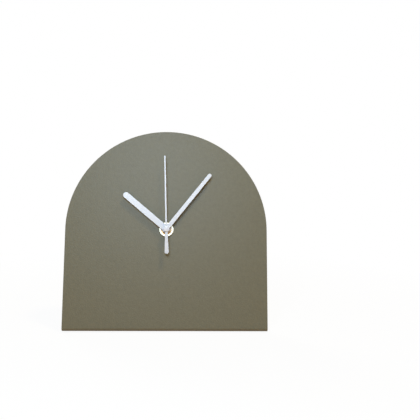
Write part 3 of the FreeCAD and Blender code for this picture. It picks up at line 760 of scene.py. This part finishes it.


# %% [markdown]
# ## The nut
#
# A round brass nut clamps the movement to the sheet. Its front is turned back
# inside a band, and this bright band is the ring that the photograph shows
# under the hands. The band's pale ivory is a painted highlight on the brass;
# the recess and the bore keep the plain brass colour. So the faces inside the
# band get the second metal.

# %% Turn the nut
nut_front, nut_back = depths("dial_nut")
broken_edge = 0.1
nut_radius = 7.0
nut_bore = 4.05
band = 1.8
recess = 0.8
recess_corner = 0.15
band_inner_edge = 0.25
band_outer_edge = 0.3
painted_highlight_margin = 0.05
nut_section = [(nut_bore, nut_back, 0), (nut_bore, nut_front + recess, broken_edge),
               (nut_radius - band, nut_front + recess, recess_corner),
               (nut_radius - band, nut_front, band_inner_edge),
               (nut_radius, nut_front, band_outer_edge), (nut_radius, nut_back, broken_edge)]
nut_ring = turned_piece("nut_ring", nut_section, face_place, brass_painted_highlight)
nut_ring.data.materials.append(turned_brass)
# Faces inside the band keep plain brass; the rest wear the pale painted highlight.
for face in nut_ring.data.polygons:
    centre = to_face @ face.center
    within_band = math.hypot(centre.x, centre.z) < nut_radius - band - painted_highlight_margin
    if within_band and centre.y < nut_back - painted_highlight_margin:
        face.material_index = 1
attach(nut_ring, "case")
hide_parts("dial_nut")

# %% [markdown]
# ## The cap
#
# In front of all hands sits a small turned button. Its stem goes through the
# second hand, and a blind bore grips the arbor.

# %% Turn the cap
cap_front, cap_back = depths("second_hand_cap")
hand_front = depths("second_hand")[0]
cap_radius = 2.9
cap_front_edge = 0.35
cap_back_edge = 0.08
cap_wall = 0.5
stem_radius = 0.9
arbor_radius = 0.5
cap_section = [(0, cap_front, 0), (cap_radius, cap_front, cap_front_edge),
               (cap_radius, hand_front, cap_back_edge), (stem_radius, hand_front, 0),
               (stem_radius, cap_back, 0), (arbor_radius, cap_back, 0),
               (arbor_radius, cap_front + cap_wall, 0), (0, cap_front + cap_wall, 0)]
cap_button = turned_piece("cap_button", cap_section, face_place, cap_lacquer)
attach(cap_button, "second_hand_assembly")
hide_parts("second_hand_cap")

# %% [markdown]
# ## Shape trees
#
# What repeats or follows a path is made by Geometry Nodes: the thread on the
# bush, the ribs of the knob, the wire of the coil. A tree is built once, with
# its sizes as named inputs, so one tree serves any part. It ends by making
# instances real and giving them their material, because only a plain mesh can
# be handed on. The sizes go in by the sockets' identifiers before the first
# evaluation, and the evaluated result is kept as a mesh in its own place.

# %% Build a tree, and grow a piece from it
grown_sharp_angle = math.radians(40)


def open_tree(name, sizes):
    """A new tree with named inputs, and the sockets that bring them in."""
    tree = bpy.data.node_groups.new(name, "GeometryNodeTree")
    for label, kind in sizes.items():
        tree.interface.new_socket(name=label, in_out="INPUT", socket_type=kind)
    tree.interface.new_socket(name="Geometry", in_out="OUTPUT", socket_type="NodeSocketGeometry")
    return tree, add_node(tree, "NodeGroupInput").outputs


def close_tree(tree, geometry, finish):
    """End a tree with a plain mesh that wears its finish."""
    real = add_node(tree, "GeometryNodeRealizeInstances", {"Geometry": geometry})
    painted = add_node(tree, "GeometryNodeSetMaterial", {"Geometry": real.outputs[0], "Material": finish})
    add_node(tree, "NodeGroupOutput", {"Geometry": painted.outputs[0]})


def grow(name, tree, sizes, place):
    """The mesh that a tree makes from these sizes, as an object."""
    host = add_object(name + "_host", bpy.data.meshes.new(name + "_host"))
    modifier = host.modifiers.new("shape", "NODES")
    modifier.node_group = tree
    for socket in tree.interface.items_tree:
        if socket.in_out == "INPUT":
            modifier[socket.identifier] = sizes[socket.name]
    mesh = finished_mesh(host)
    bpy.data.objects.remove(host)
    mesh.name = name
    mesh.transform(place)
    mesh.shade_smooth()
    mesh.set_sharp_from_angle(angle=grown_sharp_angle)
    print(name, len(mesh.polygons), "faces, grown from", tree.name)
    return add_object(name, mesh)


# %% [markdown]
# ## Wire round a shaft
#
# A thread's ridge and a coil's wire are the same form: a line that climbs
# evenly round an axis, with a small section swept along it. For the thread the
# section has four sides, for the wire six. The spiral climbs along z, so a
# quarter turn lays it along the part's own axis.

# %% The helix tree
FLOAT = "NodeSocketFloat"
COUNT = "NodeSocketInt"
z_to_y = Matrix.Rotation(math.radians(-90), 4, "X")


def helix_tree(name, finish):
    """A tree for a ridge or a wire that is wound round an axis."""
    tree, size = open_tree(name, {"Radius": FLOAT, "Length": FLOAT, "Turns": FLOAT,
                                  "Section Radius": FLOAT, "Section Sides": COUNT, "Steps": COUNT})
    line = add_node(tree, "GeometryNodeCurveSpiral",
                    {"Resolution": size["Steps"], "Rotations": size["Turns"],
                     "Start Radius": size["Radius"], "End Radius": size["Radius"],
                     "Height": size["Length"]})
    section = add_node(tree, "GeometryNodeCurvePrimitiveCircle",
                       {"Resolution": size["Section Sides"], "Radius": size["Section Radius"]})
    swept = add_node(tree, "GeometryNodeCurveToMesh",
                     {"Curve": line.outputs[0], "Profile Curve": section.outputs[0], "Fill Caps": True})
    close_tree(tree, swept.outputs[0], finish)
    return tree


# %% [markdown]
# ## The threaded bush
#
# The movement's brass bush goes through the sheet, and the nut screws onto it.
# Its end stands in the nut's recess. The body is turned at the thread's root,
# and the ridge is wound onto it from the helix tree.

# %% Turn the bush
bush_front, bush_back = depths("threaded_bush")
bush_radius = 4.0
bush_bore = 2.55
bush_end_edge = 0.25
flange_radius = 5.4
flange_thickness = 0.7
thread_depth = 0.28
core_radius = bush_radius - thread_depth
flange_front = bush_back - flange_thickness
bush_section = [(bush_bore, bush_front, broken_edge), (core_radius, bush_front, bush_end_edge),
                (core_radius, flange_front, 0), (flange_radius, flange_front, broken_edge),
                (flange_radius, bush_back, broken_edge), (bush_bore, bush_back, 0)]
bush_sleeve = turned_piece("bush_sleeve", bush_section, face_place, turned_brass)
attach(bush_sleeve, "case")
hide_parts("threaded_bush")

# %% [markdown]
# ## The bush's thread
#
# A fine metric thread of 0.75 mm pitch. It starts a little behind the bush's
# end, as a die leaves it, and stops at the flange.

# %% Wind the thread
thread_pitch = 0.75
thread_lead_in = 0.4
thread_start = bush_front + thread_lead_in
thread_length = flange_front - thread_start - thread_depth
bush_thread = grow("bush_thread", helix_tree("thread ridge", turned_brass),
                   {"Radius": core_radius, "Length": thread_length,
                    "Turns": thread_length / thread_pitch, "Section Radius": thread_depth,
                    "Section Sides": 4, "Steps": 36},
                   face_place @ Matrix.Translation((0, thread_start, 0)) @ z_to_y)
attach(bush_thread, "case")

# %% [markdown]
# ## The washer
#
# Between sheet and movement lies a rubber washer, of which only the edge shows.
# It is spun like the nut, with the round edges that rubber has.

# %% Turn the washer
washer_front, washer_back = depths("sealing_washer")
washer_radius = 13.0
washer_edge = 0.2
washer_section = [(hole_radius, washer_front, broken_edge), (washer_radius, washer_front, washer_edge),
                  (washer_radius, washer_back, washer_edge), (hole_radius, washer_back, broken_edge)]
washer_ring = turned_piece("washer_ring", washer_section, face_place, rubber)
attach(washer_ring, "case")
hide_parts("sealing_washer")

# %% [markdown]
# ## The pad
#
# The pad is cut like the other flat parts, but it lies on the shelf, so it is
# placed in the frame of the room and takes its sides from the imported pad.

# %% Cut the pad
pad_low, pad_high = (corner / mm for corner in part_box("foot_pad"))
pad_corner_steps = 10
pad_rim = 0.2
pad_corners = [(pad_high.x, -pad_high.y), (pad_high.x, -pad_low.y),
               (pad_low.x, -pad_low.y), (pad_low.x, -pad_high.y)]
pad_outline = rounded([(x, y, foot_corner_radius) for x, y in pad_corners], pad_corner_steps)
points, faces, normals = sheet_part([pad_outline], 0, pad_high.z, pad_rim)
lie_flat = Matrix.Scale(mm, 4) @ Matrix.Rotation(math.radians(90), 4, "X")
pad_sheet = make_piece("pad_sheet", points, faces, lie_flat, foam_pad, normals)
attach(pad_sheet, "case")
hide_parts("foot_pad")

# %% [markdown]
# ## The movement's case
#
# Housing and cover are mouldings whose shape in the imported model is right, but
# whose edges are sharp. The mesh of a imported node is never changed, so a copy
# is joined up, its flat areas are made whole again, and a Bevel modifier rounds
# the edges as a moulding tool does.

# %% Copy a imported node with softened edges
mould_edge = 0.25
mould_edge_steps = 2
mould_edge_angle = math.radians(30)
flat_angle = math.radians(1)
join_distance = 0.002


def soften(name, node):
    """A copy of a packed moulding with rounded edges."""
    mesh = frame["nodes"][node].data.copy()
    shape = bmesh.new()
    shape.from_mesh(mesh)
    bmesh.ops.remove_doubles(shape, verts=shape.verts, dist=join_distance * mm)
    bmesh.ops.dissolve_limit(shape, angle_limit=flat_angle, verts=shape.verts, edges=shape.edges)
    shape.to_mesh(mesh)
    shape.free()
    mesh.materials.clear()
    mesh.materials.append(black_moulding)
    mesh.shade_smooth()
    piece = add_object(name, mesh)
    bevel = piece.modifiers.new("soft edges", "BEVEL")
    bevel.width = mould_edge * mm
    bevel.segments = mould_edge_steps
    bevel.limit_method = "ANGLE"
    bevel.angle_limit = mould_edge_angle
    bevel.harden_normals = True
    piece.data = finished_mesh(piece)
    piece.modifiers.clear()
    print(name, len(piece.data.polygons), "faces")
    return piece


mouldings = {"movement_shell": "movement_housing", "movement_back": "movement_cover"}
for name, node in mouldings.items():
    moulding = soften(name, node)
    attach(moulding, "case")
    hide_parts(node)

# %% [markdown]
# ## The setting knob
#
# The knob is dished and ribbed, so that a finger can turn it. The disc is
# turned on its own axis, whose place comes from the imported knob.

# %% Turn the knob
knob_front, knob_back = depths("setting_knob")
knob_low, knob_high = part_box("setting_knob")
knob_centre = to_face @ ((knob_low + knob_high) / 2)
knob_place = face_place @ Matrix.Translation((knob_centre.x, 0, knob_centre.z))
knob_radius = 7.0
knob_front_edge = 0.3
knob_back_edge = 0.4
knob_segments = 72
rib_radius = 0.45
knob_body_radius = knob_radius - rib_radius
dish_radius = 4.5
dish_slope = 0.6
dish_edge = 0.3
dish_depth = 1.0
dish_floor = knob_back - dish_depth
knob_wall = 0.8
shaft_socket = 2.0
knob_section = [(shaft_socket, knob_front, 0), (knob_body_radius, knob_front, knob_front_edge),
                (knob_body_radius, knob_back, knob_back_edge), (dish_radius, knob_back, dish_edge),
                (dish_radius - dish_slope, dish_floor, dish_edge), (0, dish_floor, 0),
                (0, dish_floor - knob_wall, 0), (shaft_socket, dish_floor - knob_wall, 0)]
knob_disc = turned_piece("knob_disc", knob_section, knob_place, knob_moulding, knob_segments)
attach(knob_disc, "setting_knob_assembly")
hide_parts("setting_knob")

# %% [markdown]
# ## The knob's ribs
#
# The ribs stand round the disc, each a short round rod half sunk in it, and
# repeat evenly. That is work for a tree: a circle with one point per rib, and a
# rod on each.

# %% Ring the knob with ribs
rib_count = 30
rib_margin = 0.3


def rib_ring_tree(name, finish, rod_sides=10):
    """A tree for rods that stand in a ring."""
    tree, size = open_tree(name, {"Ribs": COUNT, "Ring Radius": FLOAT, "Rib Radius": FLOAT,
                                  "Rib Length": FLOAT})
    ring = add_node(tree, "GeometryNodeMeshCircle",
                    {"Vertices": size["Ribs"], "Radius": size["Ring Radius"]})
    top = add_node(tree, "ShaderNodeCombineXYZ", {"Z": size["Rib Length"]})
    rod_line = add_node(tree, "GeometryNodeCurvePrimitiveLine", {"End": top.outputs[0]})
    section = add_node(tree, "GeometryNodeCurvePrimitiveCircle",
                       {"Resolution": rod_sides, "Radius": size["Rib Radius"]})
    rod = add_node(tree, "GeometryNodeCurveToMesh",
                   {"Curve": rod_line.outputs[0], "Profile Curve": section.outputs[0],
                    "Fill Caps": True})
    ribs = add_node(tree, "GeometryNodeInstanceOnPoints",
                    {"Points": ring.outputs[0], "Instance": rod.outputs[0]})
    close_tree(tree, ribs.outputs[0], finish)
    return tree


knob_ribs = grow("knob_ribs", rib_ring_tree("ribs round a knob", knob_moulding),
                 {"Ribs": rib_count, "Ring Radius": knob_body_radius, "Rib Radius": rib_radius,
                  "Rib Length": knob_back - knob_front - 2 * rib_margin},
                 knob_place @ Matrix.Translation((0, knob_front + rib_margin, 0)) @ z_to_y)
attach(knob_ribs, "setting_knob_assembly")

# %% [markdown]
# ## Marks on the movement's back
#
# A mould leaves its signs raised: a bent arrow for the way the knob sets the
# hands forward, and a plus and a minus by the cell's two ends. A plus is one
# arm's outline, turned four times. It is filled as a square and four arms, so
# no sliver of a face appears.

# %% Outlines of the plus and the minus
sign_reach = 1.3
sign_half = 0.3
sign_level = -9.7
sign_away = 25.0
plus_end = Vector((sign_away, sign_level))
minus_end = Vector((-sign_away, sign_level))
arm = [(sign_half, sign_half), (sign_half, sign_reach), (-sign_half, sign_reach)]
plus = [Matrix.Rotation(math.pi / 2 * turn, 2) @ Vector(point) + plus_end
        for turn in range(4) for point in arm]
plus_square = [range(0, len(plus), len(arm))]
plus_arms = [[[(start + step) % len(plus) for step in range(4)]] for start in plus_square[0]]
minus_corners = [(-sign_reach, -sign_half), (sign_reach, -sign_half),
                 (sign_reach, sign_half), (-sign_reach, sign_half)]
minus = [Vector(corner) + minus_end for corner in minus_corners]
print("plus and minus", 2 * sign_away, "mm apart")

# %% [markdown]
# ## The bent arrow
#
# It follows a circle round the knob. Its outline goes along the outside, round
# the head and back along the inside.

# %% Outline of the arrow
arrow_radius = 9.6
arrow_half = 0.35
arrow_head_half = 1.1
arrow_from = 125
arrow_to = 45
arrow_point = 32
arrow_steps = 16


def round_knob(radius, degrees):
    """A point on a circle round the knob."""
    return on_circle(radius, math.radians(degrees), (knob_centre.x, knob_centre.z))


sweep = [arrow_from + (arrow_to - arrow_from) * step / arrow_steps for step in range(arrow_steps + 1)]
arrow = [round_knob(arrow_radius + arrow_half, degrees) for degrees in sweep]
arrow += [round_knob(arrow_radius + arrow_head_half, arrow_to), round_knob(arrow_radius, arrow_point),
          round_knob(arrow_radius - arrow_head_half, arrow_to)]
arrow += [round_knob(arrow_radius - arrow_half, degrees) for degrees in reversed(sweep)]
print("arrow over", arrow_from - arrow_point, "degrees")

# %% [markdown]
# ## Raising the marks
#
# The marks are built like sheet parts, a fifth of a millimetre high, with their
# roots in the cover and a softened rim on top.

# %% Raise the marks on the cover
cover_back = depths("movement_cover")[1]
mark_height = 0.2
mark_root = 0.1
mark_rim = 0.06
marks = {"mark_plus": (plus, [plus_square] + plus_arms), "mark_minus": (minus, None),
         "mark_arrow": (arrow, None)}
for name, (outline, regions) in marks.items():
    points, faces = sheet_part([outline], cover_back - mark_root, cover_back + mark_height,
                               mark_rim, regions)[:2]
    mark = make_piece(name, points, faces, face_place, black_moulding)
    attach(mark, "case")

# %% [markdown]
# ## The cell
#
# A steel can in a film jacket. The jacket is turned in over the can's rounded
# ends, where bare nickel-plated steel shows, flat at one end and with a nub at
# the other. The section is turned along x, and the faces of the two ends get
# the metal, told by how far out they lie.

# %% Turn the cell
cell_radius = (cell_high.z - cell_low.z) / 2 / mm
cell_middle = (cell_low + cell_high) / 2
cell_edge = 0.6
cell_segments = 64
nub_length = 1.3
nub_radius = 2.7
nub_edge = 0.4
nub_root_edge = 0.3
nub_slope = 0.6
can_length = cell_length / mm - nub_length
jacket_lap = 0.9
jacket_edge = cell_radius - jacket_lap
lap_edge = 0.15
lap_step = 0.3
shoulder_drop = 0.2
shoulder = can_length - shoulder_drop
flat_end = 0.25
flat_end_slope = 0.5
flat_end_edge = 0.2
metal_margin = 0.1
cell_section = [(0, flat_end, 0), (jacket_edge - flat_end_slope, flat_end, flat_end_edge),
                (jacket_edge, 0, lap_edge), (cell_radius, 0, cell_edge),
                (cell_radius, can_length, cell_edge), (jacket_edge, can_length, lap_edge),
                (jacket_edge - lap_step, shoulder, 0), (nub_radius + nub_slope, shoulder, nub_root_edge),
                (nub_radius, can_length + nub_length, nub_edge), (0, can_length + nub_length, 0)]
y_to_x = Matrix.Rotation(math.radians(-90), 4, "Z")
cell_start = Vector((cell_low.x, cell_middle.y, cell_middle.z))
cell_place = Matrix.Translation(cell_start) @ Matrix.Scale(mm, 4) @ y_to_x
cell_body = turned_piece("cell_body", cell_section, cell_place, cell_jacket, cell_segments)
cell_body.data.materials.append(nickel)
for face in cell_body.data.polygons:
    out = math.hypot(face.center.y - cell_middle.y, face.center.z - cell_middle.z) / mm
    if out < jacket_edge - metal_margin:
        face.material_index = 1
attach(cell_body, "case")
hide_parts("battery")

# %% [markdown]
# ## The coil
#
# Inside, some thousand turns of enamelled wire fill the bobbin. One layer of
# thicker turns over a plain core of copper gives the same look with few faces:
# the wire is drawn coarser than real.

# %% Turn the coil's core
coil_low, coil_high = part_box("coil_winding")
coil_middle = to_face @ ((coil_low + coil_high) / 2)
coil_length = (coil_high.x - coil_low.x) / mm
coil_front, coil_back = depths("coil_winding")
coil_radius = (coil_back - coil_front) / 2
coil_segments = 48
wire_radius = 0.12
core_bore = 2.12
wire_line_radius = coil_radius - wire_radius
coil_start = (coil_middle.x - coil_length / 2, coil_middle.y, coil_middle.z)
coil_place = face_place @ Matrix.Translation(coil_start) @ y_to_x
core_section = [(core_bore, 0, 0), (wire_line_radius, 0, 0),
                (wire_line_radius, coil_length, 0), (core_bore, coil_length, 0)]
coil_body = turned_piece("coil_body", core_section, coil_place, copper_wire, coil_segments)
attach(coil_body, "case")
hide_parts("coil_winding")
print("coil of", round(coil_length, 2), "by", round(2 * coil_radius, 2), "mm")

# %% [markdown]
# ## The coil's wire
#
# It is the thread's tree again, with a round section and the coil's own sizes.
# The turns lie a tenth of a wire apart, so each one shows.

# %% Wind the coil
wire_gap = 0.024
wire_pitch = 2 * wire_radius + wire_gap
wire_length = coil_length - 2 * wire_radius
coil_wire = grow("coil_wire", helix_tree("wire of a coil", copper_wire),
                 {"Radius": wire_line_radius, "Length": wire_length, "Turns": wire_length / wire_pitch,
                  "Section Radius": wire_radius, "Section Sides": 6, "Steps": 24},
                 coil_place @ Matrix.Translation((0, wire_radius, 0)) @ z_to_y)
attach(coil_wire, "case")

# %% [markdown]
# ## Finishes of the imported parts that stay
#
# The train's wheels, plates, contacts and board have their right shape already.
# Each gets the finish of what it is made of.

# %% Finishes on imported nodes
kept_nodes = {
    white_acetal: ["middle_plate", "hour_wheel", "motion_wheel", "setting_pinion", "centre_wheel",
                   "third_wheel", "seconds_wheel", "intermediate_wheel", "rotor_pinion", "coil_bobbin"],
    turned_brass: ["minute_arbor"],
    steel: ["second_arbor"],
    magnet: ["rotor_magnet"],
    soft_iron: ["stator", "coil_core"],
    board: ["circuit_board"],
    resin: ["controller_chip"],
    nickel: ["quartz_crystal", "battery_positive_contact", "battery_negative_contact"],
}
for finish, nodes in kept_nodes.items():
    for node in nodes:
        for material_slot in frame["nodes"][node].material_slots:
            material_slot.material = finish
print(sum(len(nodes) for nodes in kept_nodes.values()), "packed nodes keep their shape")

# %% [markdown]
# ## The floor
#
# A plain white floor, one large square under the clock.

# %% Lay the floor
floor_half = 3.0
floor_corners = [(x * floor_half, y * floor_half, 0) for x, y in ((-1, -1), (1, -1), (1, 1), (-1, 1))]
floor_mesh = bpy.data.meshes.new("floor")
floor_mesh.from_pydata(floor_corners, [], [(0, 1, 2, 3)])
floor = add_object("floor", floor_mesh)
print("floor", 2 * floor_half, "m wide")

# %% [markdown]
# ## The floor's paper
#
# The camera, and anything glossy or clear, sees the floor nearly white, while
# all other rays meet a warm pale paper, which lights the clock's lower part as
# a table does. Near the clock a little white paper shows through the white, so
# the shadow stays; further out this fades, so no horizon shows.

# %% Paper that looks white
white_share = 0.93
fade_start = 0.15
fade_end = 0.45


def seen_directly(tree):
    """1 for rays of the camera and for mirrored or refracted ones, else 0."""
    path = add_node(tree, "ShaderNodeLightPath").outputs
    seen = add_node(tree, "ShaderNodeMath", {0: path["Is Camera Ray"], 1: path["Is Glossy Ray"]},
                    operation="MAXIMUM")
    return add_node(tree, "ShaderNodeMath", {0: seen.outputs[0], 1: path["Is Transmission Ray"]},
                    operation="MAXIMUM").outputs[0]


floor_finish = bpy.data.materials.new("floor_white_paper")
floor_finish.use_nodes = True
tree = floor_finish.node_tree
tree.nodes.clear()
warm_paper = add_node(tree, "ShaderNodeBsdfDiffuse", {"Color": linear("#ECB874")})
white_paper = add_node(tree, "ShaderNodeBsdfDiffuse", {"Color": linear("#F4F6F8")})
white = add_node(tree, "ShaderNodeEmission", {"Color": linear("#FFFFFF"), "Strength": 1.0})
reach = add_node(tree, "ShaderNodeVectorMath", {0: object_place(tree)}, operation="LENGTH")
fade = add_node(tree, "ShaderNodeMapRange",
                {"Value": reach.outputs["Value"], "From Min": fade_start, "From Max": fade_end,
                 "To Min": white_share})
shown = add_node(tree, "ShaderNodeMixShader",
                 {0: fade.outputs["Result"], 1: white_paper.outputs[0], 2: white.outputs[0]})
mixed = add_node(tree, "ShaderNodeMixShader",
                 {0: seen_directly(tree), 1: warm_paper.outputs[0], 2: shown.outputs[0]})
add_node(tree, "ShaderNodeOutputMaterial", {"Surface": mixed.outputs[0]})
floor_mesh.materials.append(floor_finish)
print("white share near the clock", white_share)

# %% [markdown]
# ## The room
#
# The same split for the room: white to look at, dim and even as a light, so
# that the lamps decide how the clock is lit.

# %% The room
room_light = 0.15
room = bpy.data.worlds.new("room")
room.use_nodes = True
tree = room.node_tree
tree.nodes.clear()
dim = add_node(tree, "ShaderNodeBackground", {"Color": linear("#EEF2F6"), "Strength": room_light})
bright = add_node(tree, "ShaderNodeBackground", {"Color": linear("#FFFFFF"), "Strength": 1.0})
mixed = add_node(tree, "ShaderNodeMixShader",
                 {0: seen_directly(tree), 1: dim.outputs[0], 2: bright.outputs[0]})
add_node(tree, "ShaderNodeOutputWorld", {"Surface": mixed.outputs[0]})
bpy.context.scene.world = room
print("room light", room_light)

# %% [markdown]
# ## Light
#
# The photograph's face is cool and light at the top and warm at the bottom. Two
# shadows lie beside each hand: a narrow one, hard by it, and a wide soft one
# down and to the left. So a small cool lamp stands close in front, a warm one
# high on the right throws the second shadow, and a wide weak one fills in. A
# lamp's size against its distance sets how soft its shadows are. Two lamps
# behind the clock light its back and don't reach the face.


# %% Lamps
def add_lamp(name, way, distance, width, power, colour):
    """A square soft lamp that lies this way from the shaft, in the face's frame, and shines at it."""
    lamp = bpy.data.lights.new(name, "AREA")
    lamp.size = width
    lamp.energy = power
    lamp.color = linear(colour)[:3]
    holder = add_object(name, lamp)
    toward = face_turn.to_3x3() @ Vector(way).normalized()
    holder.location = shaft_point + toward * distance
    holder.rotation_euler = toward.to_track_quat("Z", "Y").to_euler()
    print(name, "at", [round(value, 2) for value in holder.location])


add_lamp("near_lamp", (-0.08, -0.85, 0.3), distance=0.55, width=0.2, power=1.82, colour="#CCE7FF")
add_lamp("fill_lamp", (0.0, -0.7, 0.75), distance=0.7, width=0.7, power=0.25, colour="#FFFFFF")
add_lamp("high_lamp", (0.32, -0.42, 0.85), distance=1.3, width=0.17, power=8.0, colour="#FFE2A6")
add_lamp("rear_lamp_left", (-0.9, 1.0, 0.9), distance=1.3, width=0.7, power=9.0, colour="#FFFFFF")
add_lamp("rear_lamp_right", (0.7, 1.3, 0.5), distance=1.5, width=0.7, power=6.0, colour="#FFFFFF")

# %% [markdown]
# ## The camera
#
# Its place was fitted to the photograph, to the outline and to the middles of
# the nut's ring and of the cap. In the leaning face's own directions it stands
# 594 mm in front, a little right of the shaft and below it, turned slightly
# left and tipped slightly up.

# %% The camera
camera_point = (22.28, -594.13, -65.22)
camera_left = 0.035135
camera_up = 0.14259
camera_roll = 0.003558
photo_width = 420
focal_px = 600
sensor_width = 36.0
camera_data = bpy.data.cameras.new("camera")
camera_data.sensor_width = sensor_width
camera_data.lens = focal_px / photo_width * sensor_width
camera = add_object("camera", camera_data)
camera.matrix_world = (
    Matrix.Translation(shaft_point) @ face_turn @ Matrix.Translation(Vector(camera_point) * mm)
    @ Matrix.Rotation(-camera_left, 4, "Z") @ Matrix.Rotation(camera_up, 4, "X")
    @ Matrix.Rotation(-camera_roll, 4, "Y") @ Matrix.Rotation(math.radians(90), 4, "X"))
bpy.context.scene.camera = camera
bpy.context.scene.view_settings.view_transform = "Standard"
print("lens of", round(camera_data.lens, 1), "mm")
